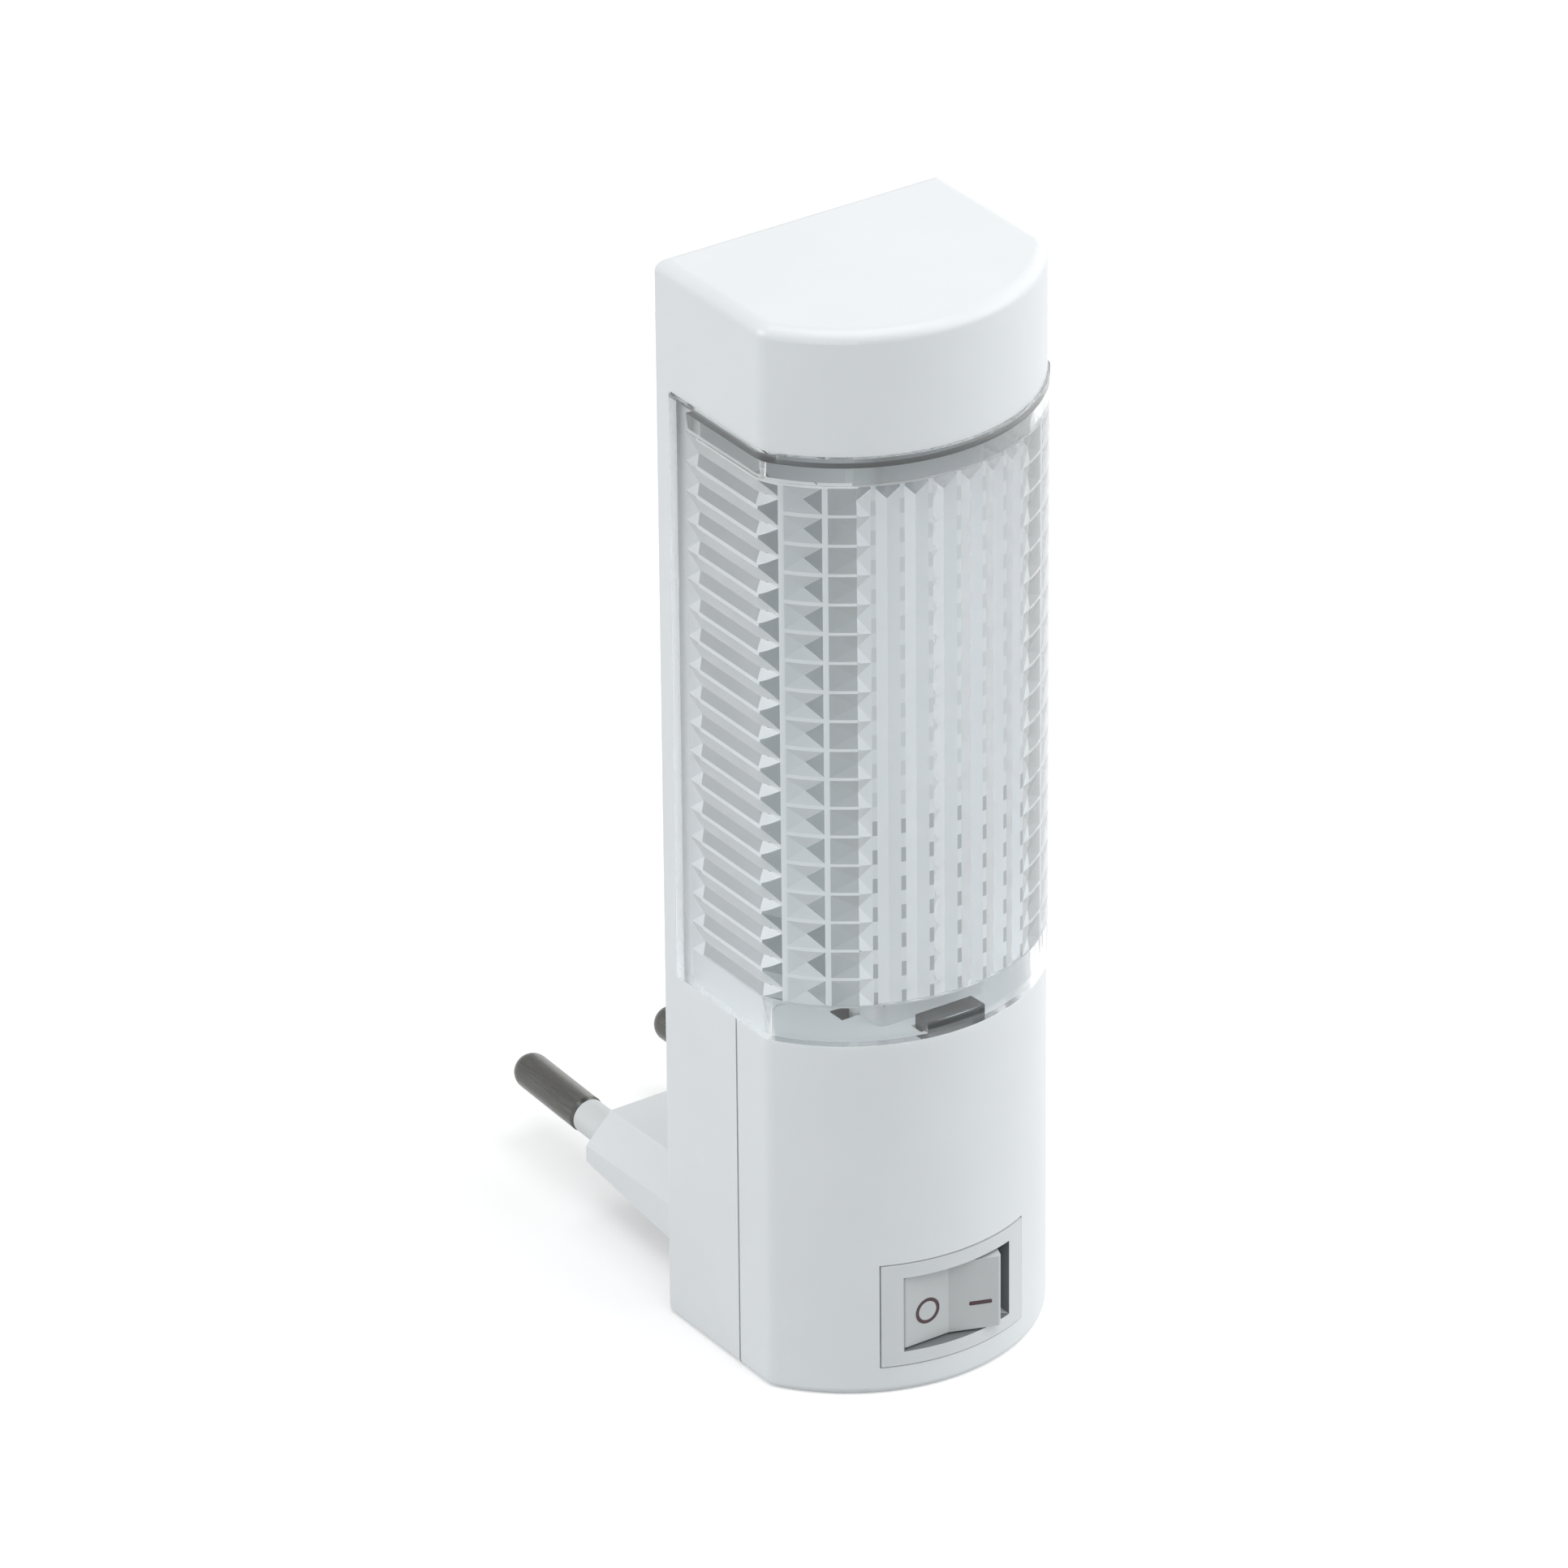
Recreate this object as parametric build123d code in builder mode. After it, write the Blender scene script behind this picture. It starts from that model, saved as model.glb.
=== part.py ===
from build123d import *
from math import cos, radians, sin, sqrt, tan
import os

# Plug-in LED night light with a rocker switch.
#
# Frame, in millimetres: the origin is the middle of the plug's face, between the two pins.
# +Y is the way the pins go into the socket, +Z is up, and the bowed front faces -Y.

# ---------------------------------------------------------------- driving dimensions

# Two-pin plug: the pins lean together towards their tips
pin_spacing = 18.6
pin_diameter = 4.0
pin_length = 19.0
pin_lean = 1.66
pin_core_diameter = 2.8
pin_collar_diameter = 4.6
pin_collar_length = 1.2
pin_tail_diameter = 2.2
pin_tail_length = 7.0
sleeve_length = 6.2
sleeve_diameter = 3.8
sleeve_chamfer = 0.3

# Boss that carries the plug, flaring from the plug's face to the back of the body
boss_depth = 20.6
boss_width = 26.8
boss_height = 8.3
boss_flare = 0.6
boss_rise = 1.4
boss_drop = 0.3
boss_corner = 3.2
boss_wall = 1.6
boss_face_wall = 4.0

# Body, seen from above: flat back, straight sides, bowed front
body_width = 34.2
body_depth = 28.0
side_depth = 18.5
front_corner_radius = 2.4
back_corner_radius = 0.5
body_height = 119.6
pin_height = 7.9
wall = 1.8
foot_radius = 0.8
crown_radius = 1.3

# Heights of the three bands, from the bottom up, and the depths of the rear shell
base_height = 40.6
lens_height = 65.6
seam_depth = 13.0
strip_depth = 2.8
seam_gap = 0.25
lip_wall = 0.8
lip_reach = 1.2

# Clear lens
lens_wall = 1.6
lens_proud = 0.25
lens_gap = 0.1
lens_flange = 1.5
lens_lip_wall = 1.2
lens_lip_height = 2.5
lens_hook_wall = 1.0
lens_hook_length = 2.0
lens_tab_width = 6.6
lens_tab_wall = 1.2
lens_tab_reach = 3.2
lens_foot_height = 1.2

# Light engine: one upright board, with the LEDs above the deck and the supply below it
board_setback = 9.0
board_wall = 1.6
board_width = 19.0
neck_width = 12.8
board_floor = 18.8
board_head = 2.7
shelf_height = 2.4
shelf_groove = 1.0
shelf_depth = 4.8
board_slot_width = 17.0
clip_wall = 1.0
diffuser_depth = 3.75
diffuser_wall = 0.9
led_count = 6
led_pitch = 10.0
led_width = 2.8
led_height = 3.5
led_thickness = 0.8
stand_off = 0.4
film_length = 12.6
film_height = 9.0
film_depth = 6.0
can_diameter = 5.0
can_length = 11.0
resistor_diameter = 2.3
resistor_length = 6.3
diode_diameter = 2.7
diode_length = 5.2
leg_diameter = 0.6
leg_reach = 0.9

# Rocker switch: its long side is level, so the rocker turns about an upright axis
switch_height = 9.05
bezel_width = 17.2
bezel_height = 11.7
bezel_wall = 0.85
bezel_proud = 0.1
switch_body_width = 14.6
switch_body_height = 10.6
switch_mouth_width = 13.0
switch_mouth_height = 8.6
switch_floor = 0.9
snap_reach = 0.5
snap_length = 2.2
snap_height = 4.0
pivot_setback = 6.1
rocker_gap = 0.25
rocker_tilt = 10.0
rocker_face = 5.0
rocker_root = 1.0
rocker_edge_radius = 0.4
stem_width = 4.0
stem_reach = 3.2
trunnion_diameter = 2.4
trunnion_reach = 0.6
plunger_diameter = 1.9
plunger_reach = 4.7
plunger_length = 3.1
spring_wire = 0.25
spring_turns = 6

# Contacts inside the switch
blade_gap = 0.05
blade_wall = 0.4
blade_width = 2.6
blade_half_length = 5.8
blade_tilt = 8.0
contact_offset = 4.8
contact_radius = 0.9
contact_height = 0.35
contact_gap = 0.08
terminal_wall = 0.8
terminal_width = 4.0
terminal_ear = 0.9
tail_width = 2.8
tail_reach = 5.4

# Fasteners and leads
case_screw_offset = 12.1
case_screw_height = 27.9
case_post_diameter = 4.2
screw_diameter = 2.2
screw_head_diameter = 4.0
screw_head_height = 1.2
recess_length = 2.4
recess_width = 0.5
case_screw_length = 16.0
retainer_screw_length = 6.0
retainer_wall = 2.6
lead_diameter = 1.4
lead_bend = 1.6
lead_loop = 4.0
lead_rise = 6.0
lead_height = 3.6
live_run = 8.5
neutral_run = 9.5
neutral_offset = 7.6
neutral_bend = 2.4
neutral_turn = 7.0

# Clearances
fit_gap = 0.15
slide_gap = 0.1
running_gap = 0.05
slot_gap = 0.3

# ---------------------------------------------------------------- worked-out places

back_y = -boss_depth
front_y = back_y - body_depth
seam_y = back_y - seam_depth
strip_y = back_y - strip_depth
inner_back_y = back_y - wall
floor_z = -pin_height
inner_floor_z = floor_z + wall
deck_top_z = floor_z + base_height
deck_z = deck_top_z - wall
cap_z = deck_top_z + lens_height
top_z = floor_z + body_height
half_width = body_width / 2
inner_half = half_width - wall

# The bow is an arc through both side corners and the foremost point
bow_rise = body_depth - side_depth
bow_radius = (half_width**2 + bow_rise**2) / (2 * bow_rise)
bow_centre_y = front_y + bow_radius

board_y = front_y + board_setback
board_back_y = board_y + board_wall
board_bottom_z = floor_z + board_floor
board_top_z = cap_z + board_head

switch_z = floor_z + switch_height
pivot_y = front_y + pivot_setback
blade_y = pivot_y + plunger_reach + blade_gap
blade_pivot_y = blade_y + blade_wall
# The tipped contact comes nearest to the load contact at its outer rim
rim_rise = (contact_offset + contact_radius) * sin(radians(blade_tilt))
closed_contact_y = blade_pivot_y + rim_rise + contact_height * cos(radians(blade_tilt))
plate_y = closed_contact_y + contact_gap + contact_height
switch_floor_y = plate_y + terminal_wall
switch_back_y = switch_floor_y + switch_floor
tail_end_y = switch_back_y + tail_reach
case_screw_z = floor_z + case_screw_height

os.makedirs("parts", exist_ok=True)


# ---------------------------------------------------------------- shared helpers

def block(x, y, z, mode=Mode.ADD):
    """Add a box between two values along each axis."""
    spans = (x, y, z)
    with Locations(tuple(sum(span) / 2 for span in spans)):
        Box(*[abs(span[1] - span[0]) for span in spans], mode=mode)


def rod(start, end, diameter, mode=Mode.ADD):
    """Add a round bar between two points."""
    way = Vector(end) - Vector(start)
    with Locations(Plane(origin=start, z_dir=way).location):
        Cylinder(diameter / 2, way.length, align=(Align.CENTER, Align.CENTER, Align.MIN), mode=mode)


def body_plan(inset=0.0, back=back_y):
    """The body's outline from above, moved in by inset, from the line y = back to the bow."""
    half = half_width - inset
    radius = bow_radius - inset
    corner_y = bow_centre_y - sqrt(radius**2 - half**2)
    with BuildSketch(mode=Mode.PRIVATE) as outline:
        with BuildLine():
            Polyline((-half, corner_y), (-half, back), (half, back), (half, corner_y))
            ThreePointArc((half, corner_y), (0, bow_centre_y - radius), (-half, corner_y))
        make_face()
        corners = outline.vertices().filter_by_position(Axis.Y, corner_y - 0.01, corner_y + 0.01)
        fillet(corners, max(front_corner_radius - inset, 0.4))
    return outline.sketch


def front_band(outer, inner, half):
    """The part of the bowed front between two insets, from x = -half to x = half."""
    with BuildSketch(mode=Mode.PRIVATE) as band:
        add(body_plan(outer))
        add(body_plan(inner), mode=Mode.SUBTRACT)
        with Locations((0, front_y)):
            Rectangle(2 * half, 2 * bow_rise, mode=Mode.INTERSECT)
    return band.sketch


def boss_outline(y, inset=0.0):
    """The boss's section at y: a rectangle with cut corners, larger and lower towards the body."""
    share = -y / boss_depth
    width = boss_width + 2 * boss_flare * share - 2 * inset
    height = boss_height + 2 * boss_rise * share - 2 * inset
    with BuildSketch(Plane.XZ.offset(-y), mode=Mode.PRIVATE) as section:
        with Locations((0, -boss_drop * (1 + share))):
            Rectangle(width, height)
        chamfer(section.vertices(), boss_corner - inset)
    return section.sketch.face()


def pin_plane(side):
    """The plane at the root of one pin, with its normal along the leaning pin."""
    way = (-side * sin(radians(pin_lean)), cos(radians(pin_lean)), 0)
    return Plane(origin=(side * pin_spacing / 2, 0, 0), x_dir=(0, 0, 1), z_dir=way)


def along_pin(side, distance):
    """The point on one pin's axis, at a distance out from the plug's face."""
    return pin_plane(side).origin + pin_plane(side).z_dir * distance


# ---------------------------------------------------------------- rear shell

screw_x = [-case_screw_offset, case_screw_offset]
screw_seat_y = back_y - screw_head_height - slot_gap
clip_bottom_z = cap_z + 0.2
clip_gaps_y = [board_back_y + slide_gap, board_y - slide_gap - clip_wall]

with BuildPart() as rear_shell:
    # Outside: the rear half of the base, the slim strip behind the lens, and the cap
    block((-half_width, half_width), (seam_y, back_y), (floor_z, deck_top_z))
    block((-half_width, half_width), (strip_y, back_y), (deck_top_z, cap_z))
    with BuildSketch(Plane.XY.offset(cap_z)):
        add(body_plan())
    extrude(amount=top_z - cap_z)
    upright = rear_shell.edges().filter_by(Axis.Z).group_by(Axis.Y)[-1]
    fillet(upright, back_corner_radius)
    crown = rear_shell.faces().sort_by(Axis.Z)[-1].edges()
    fillet(crown, crown_radius)
    foot = rear_shell.faces().sort_by(Axis.Z)[0].edges().sort_by(Axis.Y)[1:]
    fillet(foot, foot_radius)

    # Inside of the base, the lens space and the cap
    block((-inner_half, inner_half), (seam_y, inner_back_y), (inner_floor_z, deck_z), Mode.SUBTRACT)
    block((-inner_half, inner_half), (strip_y, inner_back_y), (deck_top_z, cap_z), Mode.SUBTRACT)
    with BuildSketch(Plane.XY.offset(cap_z)):
        add(body_plan(wall, inner_back_y))
    extrude(amount=top_z - wall - cap_z, mode=Mode.SUBTRACT)

    # Plug boss, hollow behind its thick face
    loft([boss_outline(0), boss_outline(back_y)])
    loft(
        [boss_outline(-boss_face_wall, boss_wall), boss_outline(inner_back_y, boss_wall)],
        mode=Mode.SUBTRACT,
    )

    # Clip under the crown that holds the top of the board
    for low_y in clip_gaps_y:
        block(
            (-neck_width / 2 - clip_wall, neck_width / 2 + clip_wall),
            (low_y, low_y + clip_wall),
            (clip_bottom_z, top_z - wall),
        )

    # Posts for the case screws
    for x in screw_x:
        rod((x, inner_back_y, case_screw_z), (x, seam_y, case_screw_z), case_post_diameter)
        outside = (x, back_y, case_screw_z)
        rod(outside, (x, seam_y, case_screw_z), screw_diameter + 2 * fit_gap, Mode.SUBTRACT)
        rod(outside, (x, screw_seat_y, case_screw_z), screw_head_diameter + 2 * fit_gap, Mode.SUBTRACT)

    # Holes through the plug's face for the sleeved pins, and the retainer screw's pilot
    pin_hole_diameter = sleeve_diameter + 2 * fit_gap
    for side in (-1, 1):
        rod(along_pin(side, -2 * boss_face_wall), along_pin(side, 1), pin_hole_diameter, Mode.SUBTRACT)
    rod((0, -boss_face_wall, 0), (0, -1, 0), screw_diameter, Mode.SUBTRACT)

rear_shell.part.label = "rear_shell"
export_step(rear_shell.part, "parts/rear_shell.step")

# ---------------------------------------------------------------- front shell

front_seam_y = seam_y - seam_gap
shelf_z = (board_bottom_z - shelf_height + shelf_groove, board_bottom_z + shelf_groove)
shelf_y = ((board_y + board_back_y - shelf_depth) / 2, (board_y + board_back_y + shelf_depth) / 2)
slot_half = board_slot_width / 2
tab_y = (front_y + wall + 0.7, front_y + wall + 0.7 + lens_tab_wall)

with BuildPart() as front_shell:
    with BuildSketch(Plane.XY.offset(floor_z)):
        add(body_plan(back=front_seam_y))
    extrude(amount=base_height)
    foot = front_shell.faces().sort_by(Axis.Z)[0].edges().sort_by(Axis.Y)[:-1]
    fillet(foot, foot_radius)
    with BuildSketch(Plane.XY.offset(inner_floor_z)):
        add(body_plan(wall, front_seam_y))
    extrude(amount=deck_z - inner_floor_z, mode=Mode.SUBTRACT)

    # Lips that reach past the seam, inside the rear shell
    lip_y = (front_seam_y - 2 * lip_reach, seam_y + lip_reach)
    for side in (-1, 1):
        outer_x = side * (inner_half - fit_gap)
        inner_x = outer_x - side * lip_wall
        block((inner_x, outer_x), lip_y, (inner_floor_z, deck_z))
        block((outer_x, side * inner_half), (lip_y[0], front_seam_y), (inner_floor_z, deck_z))
    lip_half = inner_half - fit_gap
    block((-lip_half, lip_half), lip_y, (inner_floor_z + fit_gap, inner_floor_z + fit_gap + lip_wall))
    block((-lip_half, lip_half), (lip_y[0], front_seam_y), (inner_floor_z, inner_floor_z + fit_gap))
    block(
        (-half_width, half_width),
        (front_seam_y, seam_y + lip_reach),
        (floor_z, inner_floor_z + fit_gap),
        Mode.SUBTRACT,
    )

    # Shelf with the groove that the board stands in
    with BuildSketch(Plane.XY.offset(shelf_z[0])):
        add(body_plan(wall / 2, front_seam_y))
        with Locations((0, sum(shelf_y) / 2)):
            Rectangle(body_width, shelf_depth, mode=Mode.INTERSECT)
    extrude(amount=shelf_height)
    block(
        (-board_width / 2 - slide_gap, board_width / 2 + slide_gap),
        (board_y - slide_gap, board_back_y + slide_gap),
        (board_bottom_z, shelf_z[1]),
        Mode.SUBTRACT,
    )

    # Deck slots for the board and for the lens's tab
    block(
        (-slot_half, slot_half),
        (board_y - slot_gap, board_back_y + slot_gap),
        (deck_z, deck_top_z),
        Mode.SUBTRACT,
    )
    block(
        (-lens_tab_width / 2 - slot_gap, lens_tab_width / 2 + slot_gap),
        (tab_y[0] - fit_gap, tab_y[1] + slot_gap),
        (deck_z, deck_top_z),
        Mode.SUBTRACT,
    )

    # Posts for the case screws, with blind pilot holes
    for x in screw_x:
        rod((x, front_seam_y, case_screw_z), (x, board_y, case_screw_z), case_post_diameter)
        web_x = (x, inner_half if x > 0 else -inner_half)
        block(web_x, (board_y, front_seam_y), (case_screw_z - lip_wall, case_screw_z + lip_wall))
        rod((x, front_seam_y, case_screw_z), (x, board_y + 1, case_screw_z), screw_diameter, Mode.SUBTRACT)

    # Window for the switch, with a seat that follows the bow
    with BuildSketch(Plane.XY.offset(switch_z - bezel_height / 2 - fit_gap)):
        add(front_band(-1, bezel_wall + running_gap, bezel_width / 2 + fit_gap))
    extrude(amount=bezel_height + 2 * fit_gap, mode=Mode.SUBTRACT)
    block(
        (-switch_body_width / 2 - fit_gap, switch_body_width / 2 + fit_gap),
        (front_y - 1, front_y + bow_rise),
        (switch_z - switch_body_height / 2 - fit_gap, switch_z + switch_body_height / 2 + fit_gap),
        Mode.SUBTRACT,
    )

front_shell.part.label = "front_shell"
export_step(front_shell.part, "parts/front_shell.step")

# ---------------------------------------------------------------- lens

lens_bottom_z = deck_top_z + lens_gap
lens_top_z = cap_z - lens_gap
lens_back_y = strip_y - lens_gap
lens_inset = lens_wall - lens_proud
lip_inset = wall + fit_gap
ring_inset = lip_inset + lens_lip_wall

with BuildPart() as lens:
    with BuildSketch(Plane.XY.offset(lens_bottom_z)):
        add(body_plan(-lens_proud, lens_back_y))
        add(body_plan(lens_inset, back_y), mode=Mode.SUBTRACT)
    extrude(amount=lens_top_z - lens_bottom_z)

    # Flange and lip that tuck up inside the cap
    with BuildSketch(Plane.XY.offset(lens_top_z - lens_flange)):
        add(body_plan(lens_inset - 0.1, lens_back_y))
        add(body_plan(ring_inset, back_y), mode=Mode.SUBTRACT)
    extrude(amount=lens_flange)
    with BuildSketch(Plane.XY.offset(lens_top_z)):
        add(body_plan(lip_inset, lens_back_y))
        add(body_plan(ring_inset, back_y), mode=Mode.SUBTRACT)
    extrude(amount=lens_lip_height)

    # Hooks along both back edges, inside the rear shell's strips
    hook_z = (lens_bottom_z, lens_top_z)
    for side in (-1, 1):
        outer_x = side * (inner_half - fit_gap)
        inner_x = outer_x - side * lens_hook_wall
        block((inner_x, outer_x), (lens_back_y - lens_hook_length, inner_back_y - fit_gap), hook_z)
        wall_x = side * (half_width - lens_inset)
        block((outer_x, wall_x), (lens_back_y - lens_hook_length, lens_back_y), hook_z)

    # Tab at the front that drops through the deck
    tab_half = lens_tab_width / 2
    block((-tab_half, tab_half), tab_y, (deck_top_z - lens_tab_reach, lens_bottom_z))
    foot_y = (front_y + lens_inset - 0.2, tab_y[1])
    block((-tab_half, tab_half), foot_y, (lens_bottom_z, lens_bottom_z + lens_foot_height))

lens.part.label = "lens"
export_step(lens.part, "parts/lens.step")

# ---------------------------------------------------------------- light engine

with BuildPart() as led_board:
    shoulder_z = deck_z - slot_gap
    block((-board_width / 2, board_width / 2), (board_y, board_back_y), (board_bottom_z, shoulder_z))
    block((-neck_width / 2, neck_width / 2), (board_y, board_back_y), (shoulder_z, board_top_z))

led_board.part.label = "led_board"
export_step(led_board.part, "parts/led_board.step")

with BuildPart() as leds:
    first_z = (deck_top_z + cap_z - (led_count - 1) * led_pitch) / 2
    for place in range(led_count):
        middle_z = first_z + place * led_pitch
        block(
            (-led_width / 2, led_width / 2),
            (board_y - led_thickness, board_y),
            (middle_z - led_height / 2, middle_z + led_height / 2),
        )

leds.part.label = "leds"
export_step(leds.part, "parts/leds.step")

with BuildPart() as diffuser:
    diffuser_z = (deck_top_z, clip_bottom_z - slot_gap)
    outer_half = neck_width / 2
    inner_x = outer_half - diffuser_wall
    diffuser_y = board_y - diffuser_depth
    block((-outer_half, outer_half), (diffuser_y, board_y), diffuser_z)
    fillet(diffuser.edges().filter_by(Axis.Z).group_by(Axis.Y)[0], diffuser_wall)
    block((-inner_x, inner_x), (diffuser_y + diffuser_wall, board_y), diffuser_z, Mode.SUBTRACT)

diffuser.part.label = "diffuser"
export_step(diffuser.part, "parts/diffuser.step")

# ---------------------------------------------------------------- supply parts on the board

film_x = (-board_width / 2 + 0.5, -board_width / 2 + 0.5 + film_length)
film_z = (deck_z - 2.4 - film_height, deck_z - 2.4)
seat_y = board_back_y + stand_off

with BuildPart() as film_capacitor:
    block(film_x, (seat_y, seat_y + film_depth), film_z)
    fillet(film_capacitor.edges().filter_by(Axis.Y), 0.8)
    for x in (film_x[0] + 2.0, film_x[1] - 2.0):
        rod((x, board_back_y, sum(film_z) / 2), (x, seat_y, sum(film_z) / 2), leg_diameter)

film_capacitor.part.label = "film_capacitor"
export_step(film_capacitor.part, "parts/film_capacitor.step")

can_x = film_x[1] + 0.4 + can_diameter / 2
can_z = sum(film_z) / 2 + 1.5

with BuildPart() as electrolytic_capacitor:
    rod((can_x, seat_y, can_z), (can_x, seat_y + can_length, can_z), can_diameter)
    fillet(electrolytic_capacitor.edges().filter_by(GeomType.CIRCLE), 0.35)
    for x in (can_x - 1, can_x + 1):
        rod((x, board_back_y, can_z), (x, seat_y + 0.5, can_z), leg_diameter)

electrolytic_capacitor.part.label = "electrolytic_capacitor"
export_step(electrolytic_capacitor.part, "parts/electrolytic_capacitor.step")


def axial_part(middle, way, side, length, diameter):
    """A round part lying along the board, with both legs bent to the board's face."""
    middle = Vector(middle)
    way = Vector(way)
    rod(middle - way * length / 2, middle + way * length / 2, diameter)
    reach = length / 2 + leg_reach
    rod(middle - way * reach, middle + way * reach, leg_diameter)
    drop = Vector(0, -side * (diameter / 2 + stand_off), 0)
    for end in (middle - way * reach, middle + way * reach):
        with Locations(end):
            Sphere(leg_diameter / 2)
        rod(end, end + drop, leg_diameter)


resistor_z = film_z[0] - 1.2 - resistor_diameter / 2
resistor_y = board_back_y + stand_off + resistor_diameter / 2

with BuildPart() as resistors:
    for x in (-board_width / 4, board_width / 4):
        axial_part((x, resistor_y, resistor_z), (1, 0, 0), 1, resistor_length, resistor_diameter)

resistors.part.label = "resistors"
export_step(resistors.part, "parts/resistors.step")

diode_y = board_y - stand_off - diode_diameter / 2
diode_z = sum(film_z) / 2

with BuildPart() as rectifier_diodes:
    for place in range(4):
        x = (place - 1.5) * (board_width - diode_diameter - 1.5) / 3
        axial_part((x, diode_y, diode_z), (0, 0, 1), -1, diode_length, diode_diameter)

rectifier_diodes.part.label = "rectifier_diodes"
export_step(rectifier_diodes.part, "parts/rectifier_diodes.step")

# ---------------------------------------------------------------- plug pins, sleeves and retainer

collar_y = -boss_face_wall - slide_gap
tail_start = collar_y - pin_collar_length
tail_end = tail_start - pin_tail_length

for side, hand in ((-1, "left"), (1, "right")):
    with BuildPart() as plug_pin:
        rod(along_pin(side, sleeve_length), along_pin(side, pin_length), pin_diameter)
        tip = plug_pin.edges().filter_by(GeomType.CIRCLE).sort_by(Axis.Y)[-1]
        fillet(tip, pin_diameter / 2 - 0.05)
        root = plug_pin.edges().filter_by(GeomType.CIRCLE).sort_by(Axis.Y)[0]
        chamfer(root, sleeve_chamfer)
        rod(along_pin(side, collar_y), along_pin(side, sleeve_length), pin_core_diameter)
        rod(along_pin(side, tail_start), along_pin(side, collar_y), pin_collar_diameter)
        rod(along_pin(side, tail_end), along_pin(side, tail_start), pin_tail_diameter)
    plug_pin.part.label = f"plug_pin_{hand}"
    export_step(plug_pin.part, f"parts/plug_pin_{hand}.step")

    with BuildPart() as pin_sleeve:
        rod(along_pin(side, collar_y), along_pin(side, sleeve_length), sleeve_diameter)
        chamfer(pin_sleeve.edges().filter_by(GeomType.CIRCLE).sort_by(Axis.Y)[-1], sleeve_chamfer)
        rod(along_pin(side, collar_y), along_pin(side, sleeve_length), pin_core_diameter, Mode.SUBTRACT)
    pin_sleeve.part.label = f"pin_sleeve_{hand}"
    export_step(pin_sleeve.part, f"parts/pin_sleeve_{hand}.step")

retainer_y = (tail_start - slide_gap - retainer_wall, tail_start - slide_gap)

with BuildPart() as pin_retainer:
    with BuildSketch(Plane.XZ.offset(-retainer_y[1])):
        add(boss_outline(retainer_y[1], boss_wall + fit_gap))
    extrude(amount=retainer_wall)
    tail_hole_diameter = pin_tail_diameter + 2 * slide_gap
    for side in (-1, 1):
        hole_ends = (along_pin(side, retainer_y[0] - 1), along_pin(side, retainer_y[1] + 1))
        rod(*hole_ends, tail_hole_diameter, Mode.SUBTRACT)
    rod((0, retainer_y[0], 0), (0, retainer_y[1], 0), screw_diameter + 2 * fit_gap, Mode.SUBTRACT)

pin_retainer.part.label = "pin_retainer"
export_step(pin_retainer.part, "parts/pin_retainer.step")

# ---------------------------------------------------------------- screws


def pan_screw(x, seat, z, length):
    """A cross-head screw: its length runs along +Y from the head's seat, or along -Y if negative."""
    way = 1 if length > 0 else -1
    head_y = seat - way * screw_head_height
    rod((x, seat, z), (x, seat + length, z), screw_diameter)
    rod((x, head_y, z), (x, seat, z), screw_head_diameter)
    depth = screw_head_height * 0.6
    for width, height in ((recess_length, recess_width), (recess_width, recess_length)):
        block(
            (x - width / 2, x + width / 2),
            (head_y, head_y + way * depth),
            (z - height / 2, z + height / 2),
            Mode.SUBTRACT,
        )


with BuildPart() as retainer_screw:
    pan_screw(0, retainer_y[0], 0, retainer_screw_length)

retainer_screw.part.label = "retainer_screw"
export_step(retainer_screw.part, "parts/retainer_screw.step")

with BuildPart() as case_screws:
    for x in screw_x:
        pan_screw(x, screw_seat_y, case_screw_z, -case_screw_length)

case_screws.part.label = "case_screws"
export_step(case_screws.part, "parts/case_screws.step")

# ---------------------------------------------------------------- switch body

mouth_half_z = switch_mouth_height / 2
body_half_z = switch_body_height / 2

with BuildPart() as switch_body:
    with BuildSketch(Plane.XY.offset(switch_z - bezel_height / 2)):
        add(front_band(-bezel_proud, bezel_wall, bezel_width / 2))
    extrude(amount=bezel_height)
    with BuildSketch(Plane.XY.offset(switch_z - body_half_z)):
        add(body_plan(bezel_wall / 2, back_y))
        with Locations((0, (switch_back_y + front_y) / 2)):
            Rectangle(switch_body_width, switch_back_y - front_y, mode=Mode.INTERSECT)
    extrude(amount=switch_body_height)
    block(
        (-switch_mouth_width / 2, switch_mouth_width / 2),
        (front_y - 1, switch_floor_y),
        (switch_z - mouth_half_z, switch_z + mouth_half_z),
        Mode.SUBTRACT,
    )

    # Snap lugs behind the front shell's wall, at both ends
    snap_start_y = bow_centre_y - sqrt((bow_radius - wall) ** 2 - (switch_body_width / 2) ** 2) + slot_gap
    for side in (-1, 1):
        root_x = side * switch_body_width / 2
        with BuildSketch(Plane.XY.offset(switch_z - snap_height / 2)):
            with BuildLine():
                Polyline(
                    (root_x, snap_start_y),
                    (root_x + side * snap_reach, snap_start_y),
                    (root_x, snap_start_y + snap_length),
                    close=True,
                )
            make_face()
        extrude(amount=snap_height)

    # Bearings for the rocker's trunnions, and the floor's terminal slots
    rod(
        (0, pivot_y, switch_z - body_half_z),
        (0, pivot_y, switch_z + body_half_z),
        trunnion_diameter + 2 * running_gap,
        Mode.SUBTRACT,
    )
    for x in (0, -contact_offset):
        block(
            (x - terminal_wall / 2 - running_gap, x + terminal_wall / 2 + running_gap),
            (switch_floor_y, switch_back_y),
            (switch_z - tail_width / 2 - running_gap, switch_z + tail_width / 2 + running_gap),
            Mode.SUBTRACT,
        )

switch_body.part.label = "switch_body"
export_step(switch_body.part, "parts/switch_body.step")

# ---------------------------------------------------------------- rocker, plunger and spring

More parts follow.
